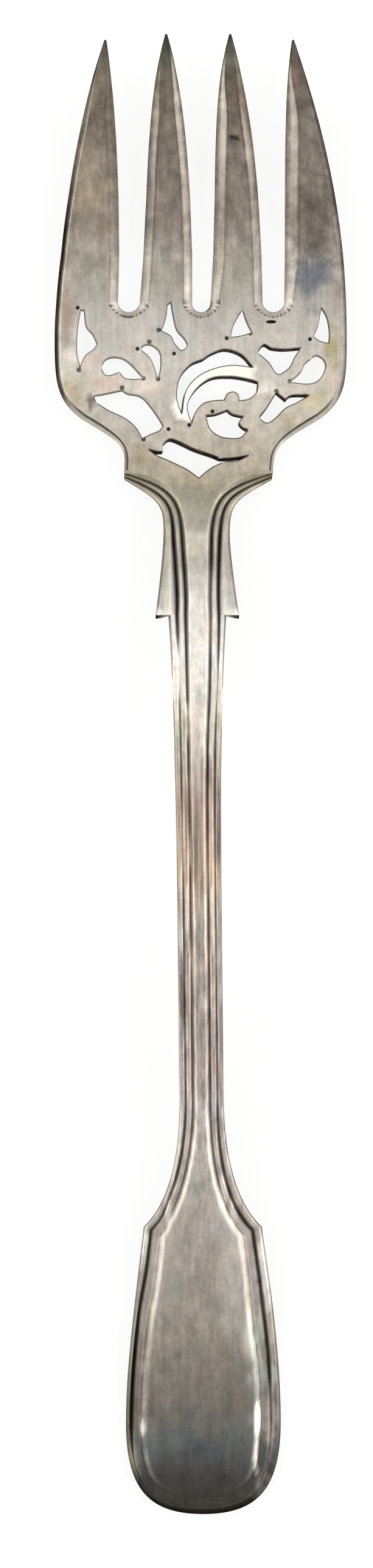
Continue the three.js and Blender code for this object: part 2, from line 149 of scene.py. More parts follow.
# Hollow values across the head's edge (border, bevel line, shine, middle and wall) at its plain places: a
# dark line at the foot, painted shade down the left rim and, less, up the first tine's outer edge on the side
# away from the light, and darker down the right rim's bevel and wall
FOOT_TARNISH = (0, 1, 0.6, -0.2, 0)
LEFT_FOOT_TARNISH = (0, 1, 0.5, -0.2, 0)
LEFT_RIM_SHADE = (0, -0.25, 0.5, 0.95, 0.95)
LEFT_TINE_SHADE = (0, -0.25, 0.275, 0.5225, 0.5225)
RIGHT_RIM_TONES = (0, 0.3, 0.3, 0.55, 0.85)
LEFT_TINE_Y = (92, 108)
FOOT_FADE = (10, 15)
# Struck dashes round the roots of the gaps: tones in turn, how far up they go, and where it is all dark
DASH_TONES = (1, 0.1, 0.7, 0)
DASH_HEIGHT = 1.7
DARK_ROOT_X = -12.3
DARK_ROOT_HALF = 0.7
# The edges beside the centre gap, which are bright, lie between these places
BRIGHT_EDGES_X = (-5.2, 5.7)

# Walls of the openings lean to the back by a share of this slant, more where they show dark
OPENING_SLANT = Vector((-0.22, -0.46))
PLAIN_SLANT = 0.25
DARK_WALLS = {
    "upper crescent": 0.85,
    "lower crescent": 0.85,
    "scroll eye": 0.6,
    "right bell": 0.85,
    "right scroll": 0.8,
    "foot scroll": 1,
}
# Painted shade down those walls and, lighter, down the plain ones, as hollow values, and the height of the
# lowest row above the back
DARK_WALL_SHADE = (0.7, 0.95, 0.85, 0)
PLAIN_WALL_SHADE = (0.35, 0.6, 0.6, 0)
WALL_FOOT = 0.2

# Soldered seam
SEAM_DROP = 1.6
SEAM_RISE = 1.6
SEAM_BEND = 5
SEAM_GAP = 0.5
SEAM_STEPS = 16
SOLDER_INSET = 0.02
SOLDER_LAP = 0.03
SOLDER_TONE = 0.05
SOLDER_BACK_TONE = 0.3
TONGUE_X = 3.5
TONGUE_LENGTH = 9
TONGUE_THICKNESS = 0.75
TONGUE_STEPS = 16
# The shape that cuts the socket starts above the foot and reaches out of the back
SOCKET_START = 3
SOCKET_BELOW = 1
SOCKET_STEPS = 40
SOCKET_COLUMNS = 16

# Openings of the panel as runs of points between corners, right of the middle and up from the foot, drawn for
# a head of this half width
PATTERN_X = 24.7
OPENINGS = {
    "left slit": [
        [(-20.3, 28.7), (-20.7, 26), (-20.9, 22), (-20.4, 19.3)],
        [(-19.6, 21), (-18.1, 22.2), (-17.6, 23.1)],
        [(-18.3, 24.6), (-19.4, 26), (-19.8, 28.6)],
    ],
    "left comma": [
        [(-16.8, 19.1), (-16, 20.3), (-14.4, 20.7), (-12.4, 20), (-9.7, 17.2)],
        [(-11.3, 17.1), (-12.8, 17.3), (-13.8, 18.4)],
        [(-14.8, 17.9), (-16.1, 17.8), (-16.8, 19.1)],
    ],
    "upper comma": [
        [(-10.2, 22.1), (-9.4, 22.8), (-8.2, 22.7), (-7, 21.6), (-6.8, 19.5), (-7.2, 17.2)],
        [(-8, 19.6), (-8.8, 21), (-10.2, 22.1)],
    ],
    "leaf": [
        [(-5.2, 30), (-4.7, 27.5), (-4.1, 25.4), (-2.9, 24), (-2.3, 23)],
        [(-2.6, 22.3), (-3.4, 22.1), (-4.4, 23.2), (-5, 24.4), (-6.6, 25.3)],
        [(-6.2, 26.3), (-5.8, 28), (-5.7, 29.6)],
    ],
    "left scroll": [
        [(-17.6, 13.1), (-17.9, 14.1), (-16.5, 14.4), (-13.3, 15.1)],
        [(-12.3, 14.5), (-10.6, 14.2), (-9.4, 13.4), (-7.6, 11.1), (-6.4, 9.2)],
        [(-7, 8.4), (-8.4, 7.8), (-9.8, 7.1)],
        [(-10.8, 8.8), (-12.6, 10.4), (-15.5, 11.8), (-17.6, 13.1)],
    ],
    "upper crescent": [
        [(-3.2, 11.3), (-4, 14), (-3.5, 17.2), (-1.7, 19.5), (0.4, 20.4)],
        [(1.9, 21.4), (4.2, 22.1), (6.9, 21.2), (8.8, 19.1)],
        [(5.4, 19.5), (2.2, 18.9), (-0.6, 17.5), (-2.6, 15), (-3.2, 11.3)],
    ],
    "lower crescent": [
        [(9.7, 16.6), (7.3, 17.2), (4.8, 17.5), (1.8, 17.2), (-0.7, 15.4), (-2.2, 12.6), (-1.5, 9.7)],
        [(-0.9, 11.5), (0.4, 13), (2.2, 13.5), (4, 13.6)],
        [(4.4, 14.6), (5.4, 15), (6.3, 14.6), (6.6, 13.5)],
        [(8.2, 13.8), (9.4, 14.9), (9.7, 16.6)],
    ],
    "scroll eye": [
        [(1, 10.9), (2.6, 11.1), (4.5, 11.8)],
        [(5.4, 11.1), (7.1, 10.7)],
        [(6.5, 9.8), (6.8, 9.1), (7.8, 8.4)],
        [(6.9, 7.3), (5.3, 7.1), (3.2, 7.5), (1.6, 8.8), (1, 10.9)],
    ],
    "right triangle": [
        [(7, 28.8), (7.6, 27), (8.6, 25)],
        [(7, 24.5), (5.1, 24.2)],
        [(5.6, 26.2), (7, 28.8)],
    ],
    "right bell": [
        [(9.6, 21.6), (10.7, 22.9), (12, 22.3), (14.2, 22.1), (16.8, 22.3)],
        [(15.8, 20.7), (14.9, 19), (13.4, 17.9)],
        [(12.6, 18.3), (11.6, 19.9), (9.6, 21.6)],
    ],
    "right slit": [
        [(20.4, 29), (21.3, 27.3), (21.7, 25), (21.6, 23.2)],
        [(20.3, 23.5), (19.1, 24.3)],
        [(19.8, 25.8), (20.4, 29)],
    ],
    "right round": [
        [(18.7, 20.5), (19.6, 21), (20.8, 20.2), (21, 18.8), (20, 17), (18.2, 16.3), (15.1, 16.6)],
        [(16.9, 18.1), (17.6, 19.5), (18.7, 20.5)],
    ],
    "right scroll": [
        [(9.9, 10.6), (11.2, 12.2), (12.8, 14.8)],
        [(14.4, 13.5)],
        [(15.4, 14.3), (18.2, 14.3)],
        [(16.2, 13.1), (14.3, 12.2), (12.6, 10.5), (11.2, 9.7), (9.9, 10.6)],
    ],
    "foot scroll": [
        [(-6.3, 5.8), (-5.4, 6.8), (-4.2, 6.7), (-0.9, 5.2), (2.1, 4.2), (3.5, 3.6)],
        [(5.8, 3.7), (8.1, 4.1)],
        [(6.4, 3.3), (4.2, 3.1)],
        [(2.1, 2.1), (0.1, 0.4)],
        [(-1.9, 1.8), (-4.4, 3), (-6, 3.7)],
        [(-7.2, 4.2), (-8.5, 5.1)],
        [(-7.3, 4.8), (-6.2, 4.8)],
    ],
}

# Drilled dots at the ends of the scrolls
DOTS = [
    (-10.7, 22.2), (-8.7, 23.4), (-7.1, 25.4), (-5.4, 8.6), (-1.9, 9.3), (-13.3, 15.6), (2, 11.6),
    (7.7, 8.4), (12.8, 15), (14.4, 13.5), (17.7, 14.2), (15.1, 16.7), (-20.9, 29.1), (-20.6, 18.6),
    (-9.7, 17.2), (-7.2, 17.1), (4.4, 24), (8.4, 24.8), (18.5, 23.8), (-4.5, 21.4), (-9.6, 6.9),
]
DOT_RADIUS = 0.36
DOT_STEPS = 12
DOT_WALL_DEPTH = 0.15
DOT_DEPTH = 0.5
# Painted shade down a dot's wall and in its centre, as hollow values
DOT_TONES = (0, 0.75, 0.9)
# A dot that comes this close to an opening is instead a dark spot of painted shade in the face: its rings and
# where it fades
SPOT_REACH = 0.02
SPOT_RINGS = ((0.9, 8), (1.4, 10))
SPOT_DARK = 0.8
SPOT_FADE = 1.35
# The rib between the crescents carries a painted highlight where it is no wider than this
RIB_WIDTH = (1.7, 2.3)

# One short cut below the root of the right gap
CUT_X = 11.9
CUT_Y = ROOT_Y - 1.65
CUT_HALF_WIDTH = 1
CUT_HALF_HEIGHT = 0.3
CUT_STEPS = 16
CUT_WALL_DEPTH = 0.1
CUT_DEPTH = 0.3
# Painted shade down the cut's wall and in its floor, as hollow values
CUT_TONES = (0, 1, 1)
# Size of a dot or cut at the foot of its wall, as a share
PIT_WALL = 0.8

# Section across half of the handle, from the edge in: inset, depth below the crown and hollow value, which is
# above 0 for dirt and for the darker rim round the fiddle's end, and below 0 for metal rubbed bright and for
# the painted highlight along the edge of the fiddle's panel, in each zone along the edge
SECTION = {
    "tip": [
        (0, 0.6, 0.3), (0.05, 0.42, 0.1), (0.12, 0.3, 0), (0.24, 0.26, 0), (0.34, 0.32, 0.2),
        (0.46, 0.5, 0.8), (0.58, 0.32, 0.2), (0.72, 0.18, 0), (0.88, 0.22, 0.2), (1.02, 0.4, 0.8),
        (1.16, 0.2, 0.2), (1.5, 0.06, 0), (2.2, 0, 0),
    ],
    "yoke": [
        (0, 0.85, 0.4), (0.12, 0.6, 0.1), (0.4, 0.38, 0), (0.8, 0.32, -0.1), (1.08, 0.42, 0.35),
        (1.35, 0.85, 1), (1.62, 0.42, 0.4), (2, 0.26, -0.05), (2.34, 0.36, 0.35), (2.6, 0.7, 1),
        (2.84, 0.36, 0.35), (3.15, 0.1, 0), (3.5, 0, 0),
    ],
    "neck": [
        (0, 0.95, 0.5), (0.15, 0.7, 0.4), (0.5, 0.46, 0.2), (1.05, 0.3, -0.1), (1.3, 0.4, 0.65),
        (1.65, 0.95, 1), (2, 0.43, 0.7), (2.38, 0.27, -0.05), (2.78, 0.38, 0.6), (3.1, 0.85, 1),
        (3.42, 0.38, 0.55), (3.8, 0.12, 0), (4.15, 0.05, 0),
    ],
    "lug": [
        (0, 0.95, 0.55), (0.15, 0.7, 0.5), (0.35, 0.46, 0.3), (0.85, 0.36, -0.1), (1.12, 0.42, 0.5),
        (1.45, 0.9, 1), (1.78, 0.44, 0.6), (2.2, 0.28, -0.1), (2.6, 0.38, 0.5), (2.9, 0.8, 1),
        (3.18, 0.38, 0.45), (3.5, 0.12, 0), (3.8, 0.05, 0),
    ],
    "top": [
        (0, 0.9, 0.3), (0.1, 0.66, 0.1), (0.25, 0.42, 0), (0.6, 0.34, 0), (0.8, 0.4, 0.05),
        (1, 0.7, 0.15), (1.2, 0.42, 0.05), (1.7, 0.26, -0.05), (2.15, 0.38, 0.15), (2.35, 0.7, 0.9),
        (2.55, 0.38, 0.15), (2.9, 0.12, 0), (3.2, 0.05, 0),
    ],
    "stem": [
        (0, 0.9, 0.2), (0.06, 0.6, 0.1), (0.2, 0.4, 0), (0.55, 0.34, 0), (0.8, 0.4, 0.15),
        (1.05, 0.66, 0.4), (1.3, 0.42, 0.15), (1.7, 0.25, -0.1), (2, 0.36, 0.15), (2.25, 0.62, 0.55),
        (2.5, 0.36, 0.15), (2.8, 0.12, -0.1), (3.1, 0.06, 0),
    ],
    # Waist and terminal: the points next to the panel carry a painted highlight along its edge
    "waist": [
        (0, 1, 0.4), (0.1, 0.66, 0.2), (0.3, 0.46, 0), (0.6, 0.42, -0.05), (0.85, 0.5, 0.55),
        (1.15, 1, 0.9), (1.45, 0.52, 0.55), (1.8, 0.4, -0.1), (2.1, 0.46, 0.4), (2.4, 0.66, 0.9),
        (2.7, 0.46, 0.3), (3.1, 0.2, -0.5), (3.6, 0.1, 0),
    ],
    "terminal": [
        (0, 1, 0.5), (0.1, 0.66, 0.3), (0.3, 0.46, 0), (0.7, 0.42, -0.05), (0.96, 0.5, 0.6),
        (1.25, 1, 0.9), (1.54, 0.52, 0.6), (1.9, 0.42, 0), (2.6, 0.44, 0), (2.9, 0.6, 0.35),
        (3.15, 0.5, 0), (3.6, 0.24, -0.3), (4.3, 0.1, -0.05),
    ],
    "end": [
        (0, 1, 1), (0.1, 0.66, 1), (0.35, 0.46, 1), (0.75, 0.42, 0.75), (1.02, 0.46, 0.25),
        (1.25, 0.56, 0.15), (1.48, 0.46, 0.05), (1.9, 0.4, 0), (2.6, 0.4, 0), (2.9, 0.44, 0.1),
        (3.15, 0.38, 0), (3.6, 0.2, 0), (4.3, 0.1, 0),
    ],
}
SECTION_COUNT = len(SECTION["stem"])
# Share of the lug's width that each point of the section takes
SECTION_LUG = [1, 1, 0.8, 0.3] + [0] * (SECTION_COUNT - 4)
# Steps down at the square end of a lug: moves along X, Y and Z and hollow value added, which is painted shade
# under the lug's end, and the rim's value, a painted highlight along that end
LUG_END = [Vector((0, -0.04, -0.05, 1.5)), Vector((0, -0.6, -0.6, 1.5))]
LUG_RIM_HIGHLIGHT = -0.5
# Move to the right of the threads on the fiddle end, and height of the middle of the front
THREAD_DRIFT = -0.4
CROWN = -0.02
# Back of the handle from the edge in: inset and rise, and the share of the lug's width
BACK_SECTION = [(0, 0.6), (0.25, 0.15), (0.8, 0), (0.8, 0)]
BACK_LUG = [1, 1, 1, 0]
BACK_TONE = 0.2

# Height that worn threads are filled up to, and the worn stretches: place, half width, half height and the
# share of the hollow that is kept
WORN_HEIGHT = -0.55
WORN = [
    (-2, 9, 1.2, 4, 0.1), (-3.7, 16, 0.9, 9, 0.1), (3.7, 13, 0.9, 9, 0.15), (-1.8, -2, 0.8, 3, 0.5),
    (1.8, -14, 0.8, 6, 0.5), (-3, -10, 0.9, 9, 0.4), (3, -30, 0.9, 8, 0.5), (-1.8, -34, 0.8, 8, 0.5),
    (-9.2, -107, 1.2, 10, 0.1), (9.2, -103, 1.2, 7, 0.3), (11.7, -113, 1.5, 13, 0.5),
    (-11.9, -118, 1.5, 5, 0.5), (2.1, 28, 0.9, 9, 0.6), (-1.9, -12.5, 0.8, 4, 0.3),
    (9.6, -121.4, 1.8, 2, 0.35), (-6.8, -72, 3, 9, 0.65),
]

# Stretches of the threads rubbed bright or caked with dirt, and painted highlights, the brightest a hot spot
# on the right of the fiddle end with its tail and a weaker one on the left: place, half width, half height
# and the change of the hollow value
RUBBED_CAKED_AND_HIGHLIGHTS = [
    (9.5, -108.8, 0.8, 3.6, -1.5), (9.3, -115, 0.5, 5, -0.5), (-9.9, -110.4, 0.6, 2, -0.5),
    (-5.7, -73, 0.9, 4, -0.5), (-3.2, -27, 0.7, 4, -0.5), (1.9, 0.5, 0.7, 4, 0.4),
    (3.9, -70, 0.9, 4, -0.4), (5.6, -73.6, 0.9, 3.5, -0.4), (-9, -96, 1, 7, 0.25),
    (8.2, -94, 0.8, 6, -0.45), (1.6, -33, 0.6, 5, -0.35), (-3.85, -50, 0.6, 24, -0.4),
    (-4.6, -66, 0.8, 7, -0.5), (-3.1, -37, 0.6, 9, 0.45),
]
# Left outer groove, darkened between these places along Y: its columns of the section, and how much
DARK_GROOVE_TOP_Y = -86
DARK_GROOVE_END_Y = -114
OUTER_GROOVE = (4, 5, 6)
DARK_GROOVE_SHARE = 0.85

# Stretches where the threads stand off their plain line: place, half width, half height and move along X
OFFSETS = [
    (2, 24, 2.8, 20, 0.28), (8.2, -92.5, 3, 9, -0.28), (-8.5, -79, 3.6, 15, 0.45),
]

# Rows along each curve of the handle's edge, and columns across its middle and its back
ROWS = (40, 18, 44, 24, 40, 36, 48)
MIDDLE_COLUMNS = 9
BACK_COLUMNS = 27
# Spacing of the points in the flat fields of the head
FRONT_SPACING = 1.1
BACK_SPACING = 1.6
# Points of a mesh closer than this are one, and points of an outline closer than the second
MERGE = 1e-4
OUTLINE_MERGE = 1e-6
# Face angles above which an edge stays sharp
PLAIN_SHARP = 0.32
HANDLE_SHARP = 0.75
# What delaunay_2d_cdt is asked for
INSIDE_WITH_HOLES = 2

# Tones along the fork by place along Y, and tarnish patches, a few of them painted highlights, as place, half
# size, colour and amount
HEAD_TONES = [
    (50, (0.29, 0.255, 0.195)), (56, (0.34, 0.31, 0.26)), (61, (0.39, 0.36, 0.31)),
    (66, (0.47, 0.44, 0.385)), (73, (0.51, 0.48, 0.435)), (78, (0.46, 0.43, 0.385)),
    (84, (0.37, 0.34, 0.29)), (89, (0.31, 0.275, 0.235)), (95, (0.235, 0.2, 0.17)),
    (108, (0.21, 0.18, 0.15)), (117, (0.165, 0.147, 0.112)), (121.5, (0.115, 0.11, 0.085)),
    (124.5, (0.045, 0.045, 0.036)),
]
HEAD_PATCHES = [
    # First tine, paler and tan
    (-18.8, 99, 5, 8, (0.33, 0.275, 0.205), 0.8), (-17.2, 114, 4, 9, (0.205, 0.17, 0.13), 0.8),
    (-19.5, 88, 5, 5, (0.34, 0.3, 0.24), 0.6),
    # Third tine, red-brown near its point with one dark mark, duller at its root
    (6.8, 85, 2.4, 3.5, (0.28, 0.26, 0.225), 0.6), (7, 113, 3.5, 5.5, (0.17, 0.12, 0.09), 0.7),
    (5.4, 107.2, 1.4, 0.7, (0.03, 0.028, 0.02), 0.9),
    # Fourth tine, dark brown over a slate blue patch
    (19.1, 94, 4.8, 8.5, (0.135, 0.112, 0.095), 0.85), (16.4, 116, 2.4, 7, (0.18, 0.14, 0.12), 0.85),
    (18.6, 83.8, 4.6, 5, (0.125, 0.135, 0.16), 0.85),
    # Left border and the waist of the panel, pinkish brown, with a pale place that is a painted highlight on
    # the dished corner
    (-22.4, 77.5, 1.9, 7, (0.33, 0.265, 0.21), 0.95), (-22.4, 70.6, 1.6, 1.8, (0.7, 0.62, 0.54), 0.9),
    (-21.8, 65.6, 2.3, 3.4, (0.33, 0.29, 0.2), 0.85), (-16.2, 66, 3.6, 1.7, (0.5, 0.41, 0.345), 0.9),
    (-9, 66, 2.6, 1.8, (0.64, 0.57, 0.49), 0.8), (-18.4, 63.2, 1.4, 1.2, (0.13, 0.105, 0.075), 0.9),
    (-18.4, 70.6, 1.5, 1.6, (0.55, 0.45, 0.39), 0.8),
    # Right border, olive above pink above tan, the pale pink place partly a painted highlight on the dished
    # corner
    (22.3, 80, 1.8, 4, (0.33, 0.3, 0.26), 0.7), (22.3, 72, 1.9, 4.6, (0.36, 0.32, 0.2), 1),
    (22.2, 66.8, 1.8, 2.6, (0.52, 0.41, 0.345), 0.9), (19.8, 62.8, 2.8, 2.2, (0.46, 0.4, 0.27), 0.9),
    # Lower borders, yellower
    (15, 59.8, 2.4, 1.7, (0.31, 0.265, 0.175), 0.7), (-9.8, 54, 2.8, 2.6, (0.25, 0.21, 0.155), 0.7),
    # Beside the big scroll, duller on its left and paler on its right
    (-4.1, 59.8, 1.8, 2.4, (0.33, 0.305, 0.26), 0.7), (11, 65.5, 2.6, 1.9, (0.64, 0.61, 0.56), 0.8),
]
# On the handle, the near-white stop at 22 is a painted highlight on the upper stem, the stop at -82 is
# lightened for a painted highlight on the shoulders, and the dark stops at the end hold a painted dark
# reflection with the tarnish
HANDLE_TONES = [
    (-125, (0.05, 0.045, 0.036)), (-119, (0.055, 0.05, 0.047)), (-113, (0.11, 0.115, 0.108)),
    (-103, (0.2, 0.18, 0.157)), (-95, (0.28, 0.25, 0.21)), (-82, (0.36, 0.32, 0.285)),
    (-63, (0.455, 0.41, 0.37)), (-50, (0.37, 0.32, 0.3)), (-37, (0.35, 0.3, 0.27)),
    (-26, (0.44, 0.38, 0.33)), (-16, (0.43, 0.34, 0.27)), (-4, (0.32, 0.25, 0.21)),
    (5, (0.44, 0.4, 0.35)), (22, (0.62, 0.595, 0.555)), (36, (0.36, 0.335, 0.295)),
    (44, (0.42, 0.39, 0.315)), (50, (0.29, 0.26, 0.195)),
]
HANDLE_PATCHES = [
    # Terminal: slate and teal bloom, brown stains, paler bead on the right
    (0.8, -114, 4, 2.2, (0.07, 0.085, 0.105), 0.7), (-3, -111.5, 3, 1.6, (0.1, 0.13, 0.13), 0.7),
    (6.6, -105.6, 1.5, 4, (0.2, 0.16, 0.12), 0.5), (-7.9, -104.3, 2, 2, (0.2, 0.16, 0.12), 0.5),
    (12.1, -100, 0.9, 6, (0.5, 0.5, 0.44), 0.7), (9.7, -98, 1.2, 7, (0.38, 0.39, 0.35), 0.7),
    (11.8, -109.5, 1.3, 6, (0.33, 0.29, 0.26), 0.85),
    (-11.6, -107.5, 1.4, 3.5, (0.12, 0.11, 0.075), 0.7),
    (-11.4, -114.8, 1.7, 4, (0.27, 0.24, 0.19), 0.85), (9.8, -119.5, 1.6, 3, (0.2, 0.18, 0.16), 0.7),
    # Shoulders: pale outer beads, a paler right side of the panel that is a painted highlight, and two
    # greenish places
    (-9.9, -78, 1.5, 5.5, (0.75, 0.72, 0.68), 0.9), (10.8, -84, 1.6, 11, (0.7, 0.67, 0.62), 0.85),
    (5, -84, 2.5, 14, (0.48, 0.445, 0.4), 0.85), (-4.6, -87, 2.4, 3.5, (0.29, 0.295, 0.245), 0.7),
    (-0.6, -70.5, 1.6, 2.6, (0.37, 0.385, 0.34), 0.7),
    # Stem: olive smudges on the outer beads, mauve below them on the right
    (-3.4, 7, 1.1, 5.5, (0.33, 0.33, 0.24), 0.8), (3.4, 7, 1, 5, (0.33, 0.33, 0.24), 0.8),
    (3.3, -8, 0.8, 10, (0.33, 0.28, 0.28), 0.6), (-2.9, -38, 0.7, 6, (0.24, 0.22, 0.15), 0.75),
    # Yoke: paler at its right tip
    (9.5, 48.6, 2, 1.4, (0.52, 0.48, 0.42), 0.7),
]
# Strength of the mottling and of the lengthwise streaks, by place along Y
MOTTLING = [
    (-125, 0.3), (-95, 0.35), (-80, 0.2), (30, 0.12), (52, 0.18), (80, 0.2), (88, 0.5), (122, 0.6),
]
STREAKS = [
    (-125, 0.1), (-80, 0.25), (-55, 0.6), (-10, 0.95), (2, 0.7), (10, 0.35), (30, 0.2), (60, 0.12),
    (120, 0.2),
]
DIRT_AND_SHADE = (0.013, 0.01, 0.007, 1)
RUBBED_SILVER_AND_HIGHLIGHT = (0.82, 0.79, 0.71, 1)
# How far the edges of the patches wander, in metres
WANDER = 0.005

# Stage, in metres
FLOOR_HALF = 3
FLOOR_GREY = (0.18, 0.18, 0.18, 1)
FLOOR_GLOW = 0.85
WHITE = (1, 1, 1, 1)
LAMP_COLOUR = (1, 0.98, 0.95)
CAMERA_LENS = 407
CAMERA_PLACE = (-0.0024, -0.0015, 3)


def lerp(a, b, t):
    return a + (b - a) * t


def smoothstep(value, low, high):
    t = min(1, max(0, (value - low) / (high - low)))
    return t * t * (3 - 2 * t)


def blend(a, b, t):
    return [lerp(p, q, t) for p, q in zip(a, b)]


def even_steps(start, end, count):
    """Values from start to end in equal steps, without the start."""
    return [lerp(start, end, i / count) for i in range(1, count + 1)]


def back_height(y):
    """Height of the back face along the side profile."""
    if y > LOW_Y:
        return TINE_RISE * ((y - LOW_Y) / (TIP_Y - LOW_Y)) ** 2 - HEAD_REST_DEPTH
    fall = smoothstep(y, CREST_Y, LOW_Y)
    return ARCH_HEIGHT * smoothstep(y, REST_Y, CREST_Y) * (1 - fall) - HEAD_REST_DEPTH * fall


def thickness(y):
    stem = (STEM_THICKNESS - PLATE) * (1 - smoothstep(y, NECK_Y, FOOT_Y))
    terminal = (STEM_THICKNESS - TERMINAL_THICKNESS) * (1 - smoothstep(y, SHOULDER_Y, STEM_END_Y))
    tine = (PLATE - TIP_THICKNESS) * smoothstep(y, ROOT_Y, TIP_Y)
    return PLATE + stem - terminal - tine


def dish(x, y):
    return DISH_DEPTH * (x / HEAD_X) ** 2 * smoothstep(y, NECK_Y, FOOT_Y + FOOT_HEIGHT)


def sway(x, y):
    """Sideways move of a point; the fourth tine leans less than the others."""
    for (low, a), (high, b) in zip(SWAY, SWAY[1:]):
        if low < y <= high:
            move = lerp(a, b, (y - low) / (high - low))
    return move * lerp(1, FOURTH_TINE_SWAY, smoothstep(x, *FOURTH_TINE_X) * smoothstep(y, *FOURTH_TINE_Y))


def bent(point):
    """A point of the flat form, front at z = 0 and back at z = -PLATE, on the bent fork."""
    x, y, z = point
    low = back_height(y) + dish(x, y)
    across_x = x + sway(x, y)
    if z > -PLATE / 2:
        return Vector((across_x, y, low + thickness(y) + z))
    return Vector((across_x, y, max(0, low + z + PLATE)))


def bezier_at(points, t):
    """A point of the curve with these control points."""
    while len(points) > 1:
        points = [a.lerp(b, t) for a, b in zip(points, points[1:])]
    return points[0]


def bezier(points, count):
    """Points along a curve, without its start."""
    controls = [Vector(p) for p in points]
    return [bezier_at(controls, t) for t in even_steps(0, 1, count)]


def arc(centre, radius, start, end, count):
    """Points along an arc given in degrees, without its start."""
    angles = [math.radians(angle) for angle in even_steps(start, end, count)]
    return [Vector((centre[0] + radius * math.cos(a), centre[1] + radius * math.sin(a))) for a in angles]


def spline(points, count):
    """Points of a smooth run through these, a number of them to each stretch, without its start."""
    run = [Vector(p) for p in points]
    out = []
    for i in range(len(run) - 1):
        a, b, c, d = run[max(i - 1, 0)], run[i], run[i + 1], run[min(i + 2, len(run) - 1)]
        v0, v1 = (c - a) / 2, (d - b) / 2
        cubic, square = 2 * b - 2 * c + v0 + v1, 3 * c - 3 * b - 2 * v0 - v1
        out += [cubic * t ** 3 + square * t ** 2 + v0 * t + b for t in even_steps(0, 1, count)]
    return out


def tine_edge(root, tip, lean, power, count=48):
    """One edge of a tine from root to tip, part straight lean and part a late curve, without its start."""
    out = []
    for s in even_steps(0, 1, count):
        sideways = lean * s + (1 - lean) * s ** power
        out.append(Vector((lerp(root[0], tip[0], sideways), lerp(root[1], tip[1], s))))
    return out


def seam_y(x):
    """Height on the front of the seam's upper edge at x."""
    side, centre = FOOT_Y + SEAM_RISE, FOOT_Y - SEAM_DROP
    x = min(abs(x), FOOT_X)
    a, b = FOOT_X - 2 * SEAM_BEND, 2 * SEAM_BEND
    t = (-b + math.sqrt(b * b + 4 * a * x)) / (2 * a)
    return lerp(lerp(centre, side, t), side, t)


def tongue_edge(x, grow=0):
    """Point of the tongue's rounded edge, grown outwards or not, that belongs to a place x on the seam."""
    radius = TONGUE_X + grow
    round_y = FOOT_Y - SEAM_DROP - TONGUE_LENGTH + TONGUE_X
    straight = seam_y(TONGUE_X) - round_y
    run = (1 - abs(x) / TONGUE_X) * (straight + TONGUE_X * math.pi / 2)
    if run < straight:
        return Vector((math.copysign(radius, x), seam_y(TONGUE_X) - run))
    turn = (run - straight) / TONGUE_X
    return Vector((math.copysign(radius * math.cos(turn), x), round_y - radius * math.sin(turn)))


def foot_side_x(y):
    """Half width of the fork between the panel's foot and the yoke tip."""
    return lerp(YOKE_X, FOOT_X, (y - FOOT_Y) / FOOT_HEIGHT)


def head_half():
    """Right half of the head's edge, from the centre gap to the seam, as (point, bevel of the edge to it)."""
    gap, side = CENTRE_GAP / 2, SIDE_GAP / 2
    inner = gap + INNER_TINE
    outer = inner + SIDE_GAP
    tip_y = TIP_Y - TIP_RADIUS
    outer_tip_y = tip_y - OUTER_TIP_SETBACK
    gap_y, side_y = ROOT_Y + gap, ROOT_Y + side
    cheek = (HEAD_X, FOOT_Y + CHEEK_HEIGHT)
    corner = (HEAD_X - CORNER_INSET, FOOT_Y + CORNER_HEIGHT)
    foot = (FOOT_X, FOOT_Y + FOOT_HEIGHT)
    seam = (foot_side_x(FOOT_Y + SEAM_RISE), FOOT_Y + SEAM_RISE)
    r = TIP_RADIUS
    inner_fall = tine_edge((inner, side_y), (INNER_TIP_X + r, tip_y), lean=0.45, power=4)
    outer_fall = tine_edge(cheek, (OUTER_TIP_X + r, outer_tip_y), lean=0, power=2)
    cheek_curve = [
        cheek,
        (cheek[0], lerp(corner[1], cheek[1], 0.45)),
        (cheek[0] - CHEEK_PULL, corner[1] + CORNER_PULL),
        corner,
    ]
    foot_curve = [
        corner,
        (lerp(foot[0], corner[0], 0.3), lerp(foot[1], corner[1], 0.58)),
        (foot[0], foot[1] + FOOT_PULL),
        foot,
    ]
    seam_xs = even_steps(FOOT_X, TONGUE_X, SEAM_STEPS) + even_steps(TONGUE_X, 0, TONGUE_STEPS)
    runs = [
        (GAP_BEVEL, arc((0, gap_y), gap, -90, 0, 12)),
        (GAP_BEVEL, tine_edge((gap, gap_y), (INNER_TIP_X - r, tip_y), lean=0.35, power=5)),
        (GAP_BEVEL, arc((INNER_TIP_X, tip_y), r, 180, 0, 8)),
        (GAP_BEVEL, inner_fall[-2::-1] + [Vector((inner, side_y))]),
        (GAP_BEVEL, arc((inner + side, side_y), side, 180, 360, 24)),
        (GAP_BEVEL, tine_edge((outer, side_y), (OUTER_TIP_X - r, outer_tip_y), lean=0.1, power=5)),
        (GAP_BEVEL, arc((OUTER_TIP_X, outer_tip_y), r, 180, 0, 8)),
        (RIM_BEVEL, outer_fall[-2::-1] + [Vector(cheek)]),
        (RIM_BEVEL, bezier(cheek_curve, 24)),
        (FOOT_BEVEL, bezier(foot_curve, 24)),
        (FOOT_BEVEL, [Vector(seam)]),
        (0, [Vector((x, seam_y(x))) for x in seam_xs]),
    ]
    return [(point, width) for width, points in runs for point in points]


def head_outline():
    """Closed edge of the head, as (point, bevel of the edge that leads to it)."""
    right = head_half()
    points = [Vector((0, ROOT_Y))] + [p for p, _ in right]
    widths = [w for _, w in right]
    left = [Vector((-p.x, p.y)) for p in points[-2:0:-1]]
    loop = points + left
    return list(zip(loop, [widths[0]] + widths + widths[:0:-1]))


